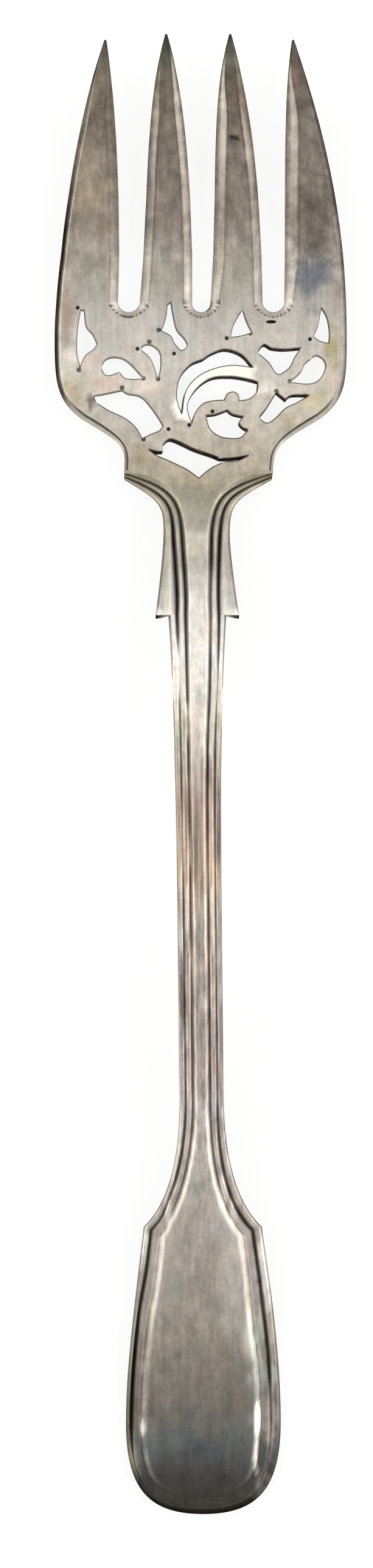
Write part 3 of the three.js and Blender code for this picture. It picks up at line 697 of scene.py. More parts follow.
def shifted(loop, widths, sign):
    """The loop moved sideways; each edge keeps its own distance from where it was."""
    out = []
    count = len(loop)
    for i, point in enumerate(loop):
        before = (point - loop[i - 1]).normalized()
        after = (loop[(i + 1) % count] - point).normalized()
        n0, n1 = sign * Vector((-before.y, before.x)), sign * Vector((-after.y, after.x))
        w0, w1 = widths[i], widths[(i + 1) % count]
        cross = n0.x * n1.y - n0.y * n1.x
        if abs(cross) > 0.15:
            move = Vector((w0 * n1.y - w1 * n0.y, n0.x * w1 - n1.x * w0)) / cross
        else:
            move = (n0 + n1).normalized() * (w0 + w1) / 2
        if move.length > 2 * max(w0, w1):
            move *= 2 * max(w0, w1) / move.length
        out.append(point + move)
    return out


def is_left_turning(loop):
    return sum(a.x * b.y - b.x * a.y for a, b in zip(loop, loop[1:] + loop[:1])) > 0


def opening_loops():
    """Closed edges of the openings, placed on the panel, all turning left."""
    loops = []
    for runs in OPENINGS.values():
        start = Vector(runs[0][0])
        points = [start]
        for i, run in enumerate(runs):
            points += spline(run if i == 0 else [points[-1], *run], 6)
        if (points[-1] - start).length < OUTLINE_MERGE:
            points.pop()
        loop = [Vector((p.x * HEAD_X / PATTERN_X, FOOT_Y + p.y)) for p in points]
        loops.append(loop if is_left_turning(loop) else loop[::-1])
    return loops


def opening_bevels(loop):
    """Bevel of each edge of an opening, closing up in the corners that point into it."""
    steps = [(b - a).normalized() for a, b in zip(loop[-1:] + loop[:-1], loop)]
    turns = [a.x * b.y - a.y * b.x for a, b in zip(steps, steps[1:] + steps[:1])]
    corners = [p for p, turn in zip(loop, turns) if turn < -0.3]
    rooms = [min(((p - c).length for c in corners), default=1) for p in loop]
    return [min(OPENING_BEVEL, 0.5 * a, 0.5 * b) for a, b in zip(rooms[-1:] + rooms[:-1], rooms)]


def rib_highlight(point, others):
    """Painted highlight on the face where another opening runs close by."""
    far = min((point - p).length for p in others)
    return -1 * (1 - smoothstep(far, *RIB_WIDTH))


def near_spot(point, spots):
    """How dark the painted shade of the face is where a dot meets the edge of an opening."""
    far = min(((point - spot).length for spot in spots), default=1)
    return SPOT_DARK * (1 - smoothstep(far, DOT_RADIUS, SPOT_FADE * DOT_RADIUS))


def fill(bm, loops, z, spacing, spots, rib_highlights):
    """Flat field inside the first loop and outside the others, with its dark spots of painted shade and its
    points of painted highlight.
    """
    points = [p for loop in loops for p in loop]
    rings = []
    for loop in loops:
        first = sum(len(ring) for ring in rings)
        rings.append(list(range(first, first + len(loop))))
    for spot in spots:
        points.append(spot)
        for share, count in SPOT_RINGS:
            points += arc(spot, share * DOT_RADIUS, 0, 360, count)
    near = KDTree(len(points))
    for i, p in enumerate(points):
        near.insert((p.x, p.y, 0), i)
    near.balance()
    xs, ys = [p.x for p in loops[0]], [p.y for p in loops[0]]
    for row in range(int((max(ys) - min(ys)) / spacing)):
        for column in range(int((max(xs) - min(xs)) / spacing)):
            step = column + 0.5 + 0.5 * (row % 2)
            p = Vector((min(xs) + step * spacing, min(ys) + (row + 0.5) * spacing))
            if near.find((p.x, p.y, 0))[2] > 0.6 * spacing:
                points.append(p)
    places, _, faces, _, _, _ = delaunay_2d_cdt(points, [], rings, INSIDE_WITH_HOLES, OUTLINE_MERGE)
    used = sorted({i for face in faces for i in face})
    verts = {i: bm.verts.new((places[i].x, places[i].y, z)) for i in used}
    layer = bm.verts.layers.float["hollow"]
    for i, vert in verts.items():
        vert[layer] = rib_highlights.get(tuple(places[i]), near_spot(places[i], spots))
    for face in faces:
        bm.faces.new([verts[i] for i in face])


def sheet(bm, rows, hollows):
    """Surface through rows of points, all of one length, with a hollow value for each point."""
    layer = bm.verts.layers.float["hollow"]
    made = bmesh.ops.create_grid(bm, x_segments=len(rows[0]) - 1, y_segments=len(rows) - 1, size=1)["verts"]
    points = [point for row in rows for point in row]
    values = [value for row in hollows for value in row]
    for vert, point, value in zip(made, points, values):
        vert.co = point
        vert[layer] = value


def band(bm, rows, hollows):
    """Surface through closed rows of points, with a hollow value for each point."""
    sheet(bm, [closed(row) for row in rows], [closed(values) for values in hollows])


def pit(bm, rim, wall, centre, wall_depth, depth, tones):
    """Small pit in the face, from its rim down its wall to its centre, with the given tones of painted shade.
    """
    rows = [flat(rim, 0), flat(wall, -wall_depth), flat([centre] * len(rim), -depth)]
    band(bm, rows, [[tone] * len(rim) for tone in tones])


def flat(points, z):
    return [Vector((p.x, p.y, z)) for p in points]


def closed(points):
    return points + points[:1]


def placed(name, data):
    """Object with this data, put in the scene."""
    obj = bpy.data.objects.new(name, data)
    bpy.context.scene.collection.objects.link(obj)
    return obj


def mesh_object(name, bm):
    """Object with the finished bmesh as its mesh."""
    mesh = bpy.data.meshes.new(name)
    bm.to_mesh(mesh)
    bm.free()
    return placed(name, mesh)


def mend(bm):
    """Merges double points, takes out faces without area and turns all faces outwards."""
    bmesh.ops.remove_doubles(bm, verts=bm.verts, dist=MERGE)
    bmesh.ops.dissolve_degenerate(bm, edges=bm.edges, dist=MERGE / 10)
    bmesh.ops.recalc_face_normals(bm, faces=bm.faces)


def piece(name, bm, material, sharp):
    """Object made from a bmesh in millimetres, riding on the fork in place of its CAD node."""
    mend(bm)
    for edge in bm.edges:
        edge.smooth = edge.calc_face_angle(0) < sharp
    for face in bm.faces:
        face.smooth = True
    bmesh.ops.scale(bm, vec=(MM, MM, MM), verts=bm.verts)
    obj = mesh_object(name, bm)
    obj.data.materials.append(material)
    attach(obj, "root")
    return obj


def new_bmesh():
    bm = bmesh.new()
    bm.verts.layers.float.new("hollow")
    return bm


def below_tip(point):
    """How far a point of the head's edge lies below the tip of its own tine."""
    return TIP_Y - point.y - (OUTER_TIP_SETBACK if abs(point.x) > SIDE_GAP_X else 0)


def bevel_taper(point, width):
    """Share of a bevel that is left at a point of the head's edge, less at the tips and the roots of gaps."""
    share = min(1, TIP_SHARE + max(0, below_tip(point) - TIP_FLAT) / TIP_TAPER)
    if width == GAP_BEVEL:
        share *= lerp(ROOT_SHARE, 1, smoothstep(point.y, ROOT_Y, ROOT_Y + ROOT_ROUND))
    return share


def bevel_share(point, width):
    """How much wider than its plain width a bevel is at a point of the head's edge."""
    if width == FOOT_BEVEL:
        return lerp(1, RIM_BEVEL / FOOT_BEVEL, smoothstep(point.y, FOOT_Y + 4, FOOT_Y + 10))
    if width == GAP_BEVEL and (0.8 < point.x < INNER_TIP_X or point.x > SIDE_GAP_X):
        wider = FOURTH_TINE_WIDER if point.x > SIDE_GAP_X else THIRD_TINE_WIDER
        above_root = smoothstep(point.y, ROOT_Y + 2, ROOT_Y + 9)
        near_tip = smoothstep(point.y, TIP_Y - 12, TIP_Y - 5)
        return 1 + wider * above_root * (1 - near_tip)
    return 1


def tine_tarnish_and_highlight(point):
    """Hollow values across a tine's edge, rubbed bright with a painted highlight at the centre gap and on the
    fourth, dull on the first.
    """
    rise = point.y - ROOT_Y
    near_tip = smoothstep(point.y, TIP_Y - 7, TIP_Y - 3)
    if BRIGHT_EDGES_X[0] < point.x < BRIGHT_EDGES_X[1] or point.x > SIDE_GAP_X:
        strength = 0.28 if 0 < point.x < SIDE_GAP_X else 0.17
        bright = strength * smoothstep(rise, 14, 28) * (1 - near_tip)
        if point.x > SIDE_GAP_X:
            bright += 0.08 * (1 - smoothstep(rise, 7, 13))
        return 0, 0.3, -bright, -bright, lerp(0.45, 0.7, near_tip)
    if point.x < -SIDE_GAP_X:
        dull = lerp(0.27, 0.42, smoothstep(rise, 6, 16))
    else:
        dull = lerp(0.05, -0.1, smoothstep(rise, 18, 26))
        dull = lerp(dull, 0.2, smoothstep(rise, 32, 38))
    return 0, 0.35, dull - 0.1, lerp(dull, 0.3, near_tip), lerp(0.5, 0.7, near_tip)


def root_tarnish(point, index):
    """Hollow values across the root of a gap, with dashes along it."""
    dark = abs(point.x - DARK_ROOT_X) < DARK_ROOT_HALF
    dash = 1 if dark else DASH_TONES[index % len(DASH_TONES)]
    return 0, dash, 0.5 * dash + 0.08, 0.08, 1 if 0.8 < point.x < 2 else 0.3


def edge_tarnish_and_light(point, width, index):
    """Hollow values across the head's edge at a point: border, bevel line, shine, middle and wall."""
    if width == GAP_BEVEL:
        return tine_tarnish_and_highlight(point) if point.y > ROOT_Y + DASH_HEIGHT else root_tarnish(point, index)
    if width == FOOT_BEVEL:
        return FOOT_TARNISH
    foot = 1 - smoothstep(point.y - FOOT_Y, *FOOT_FADE)
    # On the right the rim is darker down its bevel and wall
    if point.x > 0:
        return blend(RIGHT_RIM_TONES, FOOT_TARNISH, foot)
    # Painted shade down the left rim, lighter up the first tine's outer edge
    rim = blend(LEFT_RIM_SHADE, LEFT_TINE_SHADE, smoothstep(point.y, *LEFT_TINE_Y))
    return blend(rim, LEFT_FOOT_TARNISH, foot)


def bevelled_edge(bm):
    """Bevels and walls round the head; gives the borders of its flat front and back."""
    outline = head_outline()
    edge = [p for p, _ in outline]
    taper = [bevel_taper(p, w) for p, w in outline]
    bevels = [w * t * bevel_share(p, w) for (p, w), t in zip(outline, taper)]
    sign = 1 if is_left_turning(edge) else -1
    on_seam = [w == 0 and v == 0 for w, v in zip(bevels, bevels[1:] + bevels[:1])]
    on_tongue = [s and abs(p.x) < TONGUE_X + MERGE for s, p in zip(on_seam, edge)]
    drops = [0 if s else BEVEL_DEPTH * min(1, t + TIP_DEPTH_SHARE) for s, t in zip(on_seam, taper)]
    rises = [TONGUE_THICKNESS if t else 0 if s else BACK_BEVEL for s, t in zip(on_seam, on_tongue)]
    border, line, shine, middle = [shifted(edge, [w * k for w in bevels], sign) for k in BEVEL_RAILS]
    backs = shifted(edge, [min(BACK_BEVEL, w) for w in bevels], sign)
    backs = [tongue_edge(p.x) if t else b for p, t, b in zip(edge, on_tongue, backs)]
    tarnish_and_light = [
        [0] * len(FOOT_TARNISH) if s else edge_tarnish_and_light(p, w, i)
        for i, (s, (p, w)) in enumerate(zip(on_seam, outline))
    ]
    plain, dark, bright, slope, wall = [list(values) for values in zip(*tarnish_and_light)]
    band(bm, [
        flat(border, 0),
        flat(line, 0),
        [Vector((p.x, p.y, -SHINE_DROP * d)) for p, d in zip(shine, drops)],
        [Vector((p.x, p.y, -MIDDLE_DROP * d)) for p, d in zip(middle, drops)],
        [Vector((p.x, p.y, -d)) for p, d in zip(edge, drops)],
        [Vector((p.x, p.y, r - PLATE)) for p, r in zip(edge, rises)],
        [Vector((p.x, p.y, t * TONGUE_THICKNESS - PLATE)) for p, t in zip(backs, on_tongue)],
        flat(backs, -PLATE),
    ], [plain, dark, bright, slope, wall, wall, plain, plain])
    return border, backs


def opening_walls(bm, name, loop, wide, face):
    """Walls of one opening, from its loop in the face down; gives its loop in the back."""
    behind = [p + OPENING_SLANT * DARK_WALLS.get(name, PLAIN_SLANT) for p in loop]
    # Painted shade down the walls, heavier on those that show dark
    tones = DARK_WALL_SHADE if name in DARK_WALLS else PLAIN_WALL_SHADE
    band(bm, [
        flat(wide, 0),
        flat(loop, -OPENING_BEVEL),
        flat(loop, -0.5 * PLATE),
        flat(behind, WALL_FOOT - PLATE),
        flat(behind, -PLATE),
    ], [face] + [[tone] * len(loop) for tone in tones])
    return behind


def make_head(material):
    bm = new_bmesh()
    border, backs = bevelled_edge(bm)
    front_loops, back_loops = [border], [backs]
    openings = opening_loops()
    wide_loops = [shifted(loop, opening_bevels(loop), -1) for loop in openings]
    cut = [p for loop in wide_loops for p in loop]
    dots = [Vector((x, FOOT_Y + y)) for x, y in DOTS]
    spots = [dot for dot in dots if min((p - dot).length for p in cut) < DOT_RADIUS + SPOT_REACH]
    crescents = [i for i, name in enumerate(OPENINGS) if name.endswith("crescent")]
    rib_highlights = {}
    for i, name in enumerate(OPENINGS):
        wide = wide_loops[i]
        face = [near_spot(p, spots) for p in wide]
        # The rib between the crescents gets a painted highlight
        if i in crescents:
            other = wide_loops[sum(crescents) - i]
            face = [rib_highlight(p, other) or h for p, h in zip(wide, face)]
        rib_highlights.update({tuple(p): h for p, h in zip(wide, face) if h < 0})
        front_loops.append(wide)
        back_loops.append(opening_walls(bm, name, openings[i], wide, face))
    for dot in dots:
        if dot not in spots:
            rim, wall = [arc(dot, share * DOT_RADIUS, 0, 360, DOT_STEPS) for share in (1, PIT_WALL)]
            pit(bm, rim, wall, dot, DOT_WALL_DEPTH, DOT_DEPTH, DOT_TONES)
            front_loops.append(rim)
    rim, wall = [
        [
            Vector((CUT_X + CUT_HALF_WIDTH * share * p.x, CUT_Y + CUT_HALF_HEIGHT * share * p.y))
            for p in arc((0, 0), 1, 0, 360, CUT_STEPS)
        ]
        for share in (1, PIT_WALL)
    ]
    pit(bm, rim, wall, Vector((CUT_X, CUT_Y)), CUT_WALL_DEPTH, CUT_DEPTH, CUT_TONES)
    front_loops.append(rim)
    fill(bm, front_loops, 0, FRONT_SPACING, spots, rib_highlights)
    fill(bm, back_loops, -PLATE, BACK_SPACING, [], {})
    bmesh.ops.remove_doubles(bm, verts=bm.verts, dist=MERGE)
    for vert in bm.verts:
        vert.co = bent(vert.co)
    head = piece("head_with_tines", bm, material, PLAIN_SHARP)
    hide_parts("pierced_head")


def rail_controls(section):
    """Control points of the handle's right edge moved in by each zone's inset, with height and hollow."""
    rail = [
        ("tip", YOKE_X, FOOT_Y),
        ("yoke", lerp(NECK_X, YOKE_X, 0.08), lerp(NECK_Y, FOOT_Y, 0.62)),
        ("yoke", NECK_X, lerp(NECK_Y, FOOT_Y, 0.58)),
        ("neck", NECK_X, NECK_Y),
        ("neck", lerp(STEM_TOP_X, NECK_X, 0.6), lerp(LUG_Y, NECK_Y, 0.6)),
        ("neck", STEM_TOP_X, lerp(LUG_Y, NECK_Y, 0.3)),
        ("lug", STEM_TOP_X, LUG_Y),
        ("top", lerp(STEM_X, STEM_TOP_X, 0.4), lerp(LUG_Y, STEM_MID_Y, 0.2)),
        ("stem", STEM_X, lerp(LUG_Y, STEM_MID_Y, 0.45)),
        ("stem", STEM_X, STEM_MID_Y),
        ("stem", STEM_X, lerp(STEM_MID_Y, STEM_END_Y, 0.4)),
        ("stem", STEM_X, lerp(STEM_MID_Y, STEM_END_Y, 0.8)),
        ("stem", STEM_X, STEM_END_Y),
        ("waist", STEM_X, lerp(STEM_END_Y, SHOULDER_Y, 0.45)),
        ("waist", lerp(STEM_X, SHOULDER_X, 0.28), lerp(STEM_END_Y, SHOULDER_Y, 0.81)),
        ("terminal", SHOULDER_X, SHOULDER_Y),
        ("terminal", lerp(SHOULDER_X, TERMINAL_X, 0.32), lerp(SHOULDER_Y, BULGE_Y, 0.25)),
        ("terminal", TERMINAL_X, lerp(SHOULDER_Y, BULGE_Y, 0.65)),
        ("terminal", TERMINAL_X, BULGE_Y),
        ("end", TERMINAL_X, lerp(BULGE_Y, END_Y, 0.74)),
        ("end", TERMINAL_X * 0.69, END_Y),
        ("end", 0, END_Y),
    ]
    points = [Vector((x, y)) for _, x, y in rail]
    normals = []
    for a, b in zip(points, points[1:]):
        along = (b - a).normalized()
        normals.append(Vector((along.y, -along.x)))
    out = []
    for i, (zone, x, y) in enumerate(rail):
        before, after = normals[max(i - 1, 0)], normals[min(i, len(normals) - 1)]
        middle = (before + after).normalized()
        inset, depth, hollow = section[zone]
        moved = Vector((x, y)) + middle * inset / middle.dot(before)
        out.append(Vector((moved.x, moved.y, -depth, hollow)))
    return out


def lug_width(y):
    """Half width of the fork over the lugs at y."""
    bend_x, bend_y = lerp(NECK_X, LUG_X, 0.12), lerp(LUG_Y, NECK_Y, 0.67)
    a, b, c = NECK_Y - 2 * bend_y + LUG_Y, 2 * (bend_y - NECK_Y), NECK_Y - y
    t = min(1, max(0, (-b - math.sqrt(max(0, b * b - 4 * a * c))) / (2 * a)))
    return bezier_at([Vector((NECK_X, 0)), Vector((bend_x, 0)), Vector((LUG_X, 0))], t).x


def start_of(controls):
    """Where along its first curve a rail comes in from the head, over the seam or past the foot's side."""
    low, high = -0.3, 0.6
    for _ in range(40):
        t = (low + high) / 2
        p = bezier_at(controls[:4], t)
        if p.y > seam_y(p.x) - SEAM_GAP or p.x > foot_side_x(p.y):
            low = t
        else:
            high = t
    return high


def handle_rows():
    """Closed rings of points round the handle, first its front from right to left and then its back."""
    columns = [
        rail_controls({zone: section[i] for zone, section in SECTION.items()}) for i in range(SECTION_COUNT)
    ]
    for inset, rise in BACK_SECTION:
        columns.append(rail_controls(dict.fromkeys(SECTION, (inset, PLATE - rise, BACK_TONE))))
    starts = [0] + [start_of(c) for c in columns[1:]]
    lug_share = SECTION_LUG + BACK_LUG
    steps = []
    for curve, count in enumerate(ROWS):
        steps += [(curve, k / count, None) for k in range(0 if curve in (0, 2) else 1, count + 1)]
        if curve == 1:
            steps += [(curve, 1, fall) for fall in LUG_END]
    rings = []
    seam_front, seam_back = [bezier_at(columns[i][:4], starts[i]) for i in (SECTION_COUNT - 1, -1)]
    for curve, t, fall in steps:
        points = []
        for i, (controls, start, share) in enumerate(zip(columns, starts, lug_share)):
            at = lerp(start, 1, t) if curve == 0 else t
            p = bezier_at(controls[3 * curve:3 * curve + 4], at)
            if curve == 1:
                edge = bezier_at(columns[0][3:7], t)
                p.x += share * max(0, lug_width(p.y) - edge.x)
                # Painted highlight along the rim at the lug's end
                p.w = lerp(p.w, LUG_RIM_HIGHLIGHT, share * smoothstep(t, 0.85, 1))
            # Step down under the lug's end, with painted shade on it
            if fall:
                p += share * (fall if i < SECTION_COUNT else Vector((0, fall.y, 0, 0)))
            points.append(p)
        front, back = points[:SECTION_COUNT], points[SECTION_COUNT:]
        ring = front + across(front[-1], seam_front, MIDDLE_COLUMNS, True) + mirrored(front[::-1])
        ring = [worn_and_highlit(p, min(i, len(ring) - 1 - i)) for i, p in enumerate(ring)]
        ring += mirrored(back) + across(back[-1], seam_back, BACK_COLUMNS, False)[::-1] + back[::-1]
        rings.append(ring)
    return rings


def nearness(x, y, spot, core):
    """How close a point is to a spot of given place, half width and half height: 1 in its core, 0 outside."""
    spot_x, spot_y, wide, high = spot
    return 1 - smoothstep(math.hypot((x - spot_x) / wide, (y - spot_y) / high), core, 1)


def worn_and_highlit(point, column):
    """A point of the front, worn, rubbed, caked or given a painted highlight as its thread is, and set off
    its plain line.
    """
    x, y, z, hollow = point
    for *spot, kept in WORN:
        near = nearness(x, y, spot, 0.6)
        hollow *= lerp(1, kept, near)
        z = max(z, lerp(z, WORN_HEIGHT, near * (1 - kept)))
    for *spot, change in RUBBED_CAKED_AND_HIGHLIGHTS:
        hollow += change * nearness(x, y, spot, 0.3)
    if x < 0 and column in OUTER_GROOVE:
        groove_darkening = smoothstep(y, DARK_GROOVE_TOP_Y, DARK_GROOVE_TOP_Y - 12) * smoothstep(y, DARK_GROOVE_END_Y, DARK_GROOVE_END_Y + 6)
        hollow = lerp(hollow, 1, DARK_GROOVE_SHARE * groove_darkening)
    drift = THREAD_DRIFT * smoothstep(y, STEM_END_Y, SHOULDER_Y)
    for *spot, move in OFFSETS:
        drift += move * nearness(x, y, spot, 0.4)
    return Vector((x + drift * smoothstep(column, 1, 5), y, z, hollow))


def mirrored(points):
    return [Vector((-p.x, *p[1:])) for p in points]


def across(end, seam_end, count, crowned):
    """Points between a rail's point and its mirror image, dipping near the seam as the seam does."""
    out = []
    flat_y = NECK_Y + 0.6
    share = max(0, (end.y - flat_y) / (seam_end.y - flat_y))
    for i in range(1, count + 1):
        u = 1 - 2 * i / (count + 1)
        dip = share * (seam_y(u * seam_end.x) - seam_y(seam_end.x))
        depth = lerp(CROWN, end.z, u * u) if crowned else end.z
        out.append(Vector((end.x * u, end.y + dip, depth, end.w * u ** 8)))
    return out


def rings_solid(rings):
    """Closed solid through rings of points (front half, then back half), flat across its first ring."""
    bm = new_bmesh()
    places = [[bent(p[:3]) for p in ring] for ring in rings]
    band(bm, places, [[p.w for p in ring] for ring in rings])
    half = len(rings[0]) // 2
    sheet(bm, [places[0][:half], places[0][half:][::-1]], [[0] * half, [0] * half])
    mend(bm)
    return bm


def carved(bm, cutter):
    """The first solid with the second cut out of it."""
    made = [mesh_object("carving", solid) for solid in (bm, cutter)]
    cut = made[0].modifiers.new("socket", "BOOLEAN")
    cut.operation = "DIFFERENCE"
    cut.solver = "EXACT"
    cut.object = made[1]
    shapes = bpy.context.evaluated_depsgraph_get()
    out = bmesh.new()
    out.from_mesh(made[0].evaluated_get(shapes).data)
    for obj in made:
        mesh = obj.data
        bpy.data.objects.remove(obj)
        bpy.data.meshes.remove(mesh)
    return out


def socket_rings():
    """Rings of the socket for the head's tongue and the solder round it, from beyond the seam down."""
    edges = [Vector((TONGUE_X + SEAM_GAP, FOOT_Y + SOCKET_START))]
    edges += [tongue_edge(TONGUE_X * share, SEAM_GAP) for share in [1] + even_steps(1, 0, SOCKET_STEPS)]
    rings = []
    for edge in edges:
        line = [Vector((edge.x * share, edge.y)) for share in [1] + even_steps(1, -1, SOCKET_COLUMNS)]
        top = [Vector((p.x, p.y, TONGUE_THICKNESS + SOLDER_INSET - PLATE, 0)) for p in line]
        rings.append(top + [Vector((p.x, p.y, -PLATE - SOCKET_BELOW, 0)) for p in line[::-1]])
    return rings


def make_handle(material):
    bm = carved(rings_solid(handle_rows()), rings_solid(socket_rings()))
    handle = piece("threaded_handle", bm, material, HANDLE_SHARP)
    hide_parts("handle")


def make_solder(material):
    bm = new_bmesh()
    low, top = SOLDER_INSET - PLATE, TONGUE_THICKNESS - PLATE
    side = [(x, low) for x in [FOOT_X] + even_steps(FOOT_X, TONGUE_X, SEAM_STEPS)]
    inner = [(x, top) for x in [TONGUE_X] + even_steps(TONGUE_X, -TONGUE_X, SEAM_STEPS)]
    rows = []
    for x, floor in side + inner + [(-x, floor) for x, floor in side[::-1]]:
        upper, lower = seam_y(x) + SOLDER_LAP, seam_y(x) - SEAM_GAP - SOLDER_LAP
        ring = [(upper, -SOLDER_INSET), (lower, -SOLDER_INSET), (lower, floor), (upper, floor)]
        rows.append([bent(Vector((x, y, z))) for y, z in ring])
    band(bm, rows, [[SOLDER_TONE] * 4 for _ in rows])
    rows = []
    for x in [TONGUE_X] + even_steps(TONGUE_X, -TONGUE_X, 4 * TONGUE_STEPS):
        a, b = tongue_edge(x), tongue_edge(x, SEAM_GAP)
        rows.append([bent(Vector((*p, z))) for p, z in [(a, low), (b, low), (b, top), (a, top)]])
    band(bm, rows, [[SOLDER_BACK_TONE] * 4 for _ in rows])
    bmesh.ops.remove_doubles(bm, verts=bm.verts, dist=MERGE)
    bmesh.ops.holes_fill(bm, edges=[e for e in bm.edges if e.is_boundary], sides=4)
    solder = piece("solder_line", bm, material, PLAIN_SHARP)
    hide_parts("solder_seam")


def add(tree, kind, settings=None, **inputs):
    """Outputs of a new node; an input is named, or i and its number, and another node's output is linked."""
    node = tree.nodes.new("ShaderNode" + kind)
    for name, value in (settings or {}).items():
        setattr(node, name, value)
    for name, value in inputs.items():
        numbered = name[0] == "i" and name[1:].isdigit()
        socket = node.inputs[int(name[1:]) if numbered else name.replace("_", " ")]
        if isinstance(value, bpy.types.NodeSocket):
            tree.links.new(value, socket)
        else:
            socket.default_value = value
    return node.outputs


def ramp(tree, factor, stops):
    """Colour ramp with (place, colour or grey) stops."""
    node = tree.nodes.new("ShaderNodeValToRGB")
    elements = node.color_ramp.elements
    for place, _ in stops[2:]:
        elements.new(place)
    for element, (place, colour) in zip(elements, sorted(stops)):
        element.position = place
        element.color = (*colour, 1) if isinstance(colour, tuple) else (colour, colour, colour, 1)
    tree.links.new(factor, node.inputs["Fac"])
    return node.outputs["Color"]


def along_fork(tree, share, stops):
    """Colour ramp along the fork, with stops by place along Y."""
    return ramp(tree, share, [((y - END_Y) / (TIP_Y - END_Y), tone) for y, tone in stops])


def mixed(tree, kind, factor, a, b):
    out = add(tree, "Mix", {"data_type": "RGBA", "blend_type": kind}, i0=factor, i6=a, i7=b)
    return out[2]


def maths(tree, operation, *values, clamp=False):
    """Output of a Math node on values or on outputs of other nodes."""
    inputs = {f"i{k}": value for k, value in enumerate(values)}
    return add(tree, "Math", {"operation": operation, "use_clamp": clamp}, **inputs)[0]


def vectors(tree, operation, *values):
    """Outputs of a Vector Math node on vectors or on outputs of other nodes."""
    inputs = {f"i{k}": value for k, value in enumerate(values)}
    return add(tree, "VectorMath", {"operation": operation}, **inputs)


def stained(tree, place, mottle, colour, patches):
    """The colour with tarnish patches, a few of them painted highlights, laid over it, whose edges wander and
    are ragged.
    """
    wander = add(tree, "TexNoise", Vector=place, Scale=250, Detail=5)["Color"]
    drift = vectors(tree, "MULTIPLY_ADD", wander, (WANDER, WANDER, 0), place)[0]
    ragged = maths(tree, "MULTIPLY_ADD", mottle, 1.2, -0.6)
    fade = {"interpolation_type": "SMOOTHSTEP"}
    for x, y, wide, high, tint, amount in patches:
        centre = (x * MM + WANDER / 2, y * MM + WANDER / 2, 0)
        scale = (1 / (wide * MM), 1 / (high * MM), 0)
        off = vectors(tree, "SUBTRACT", drift, centre)[0]
        scaled = vectors(tree, "MULTIPLY", off, scale)[0]
        far = maths(tree, "ADD", vectors(tree, "LENGTH", scaled)["Value"], ragged)
        weight = add(tree, "MapRange", fade, Value=far, From_Min=1.2, From_Max=0.2, To_Max=amount)[0]
        colour = mixed(tree, "MIX", weight, colour, (*tint, 1))
    return colour


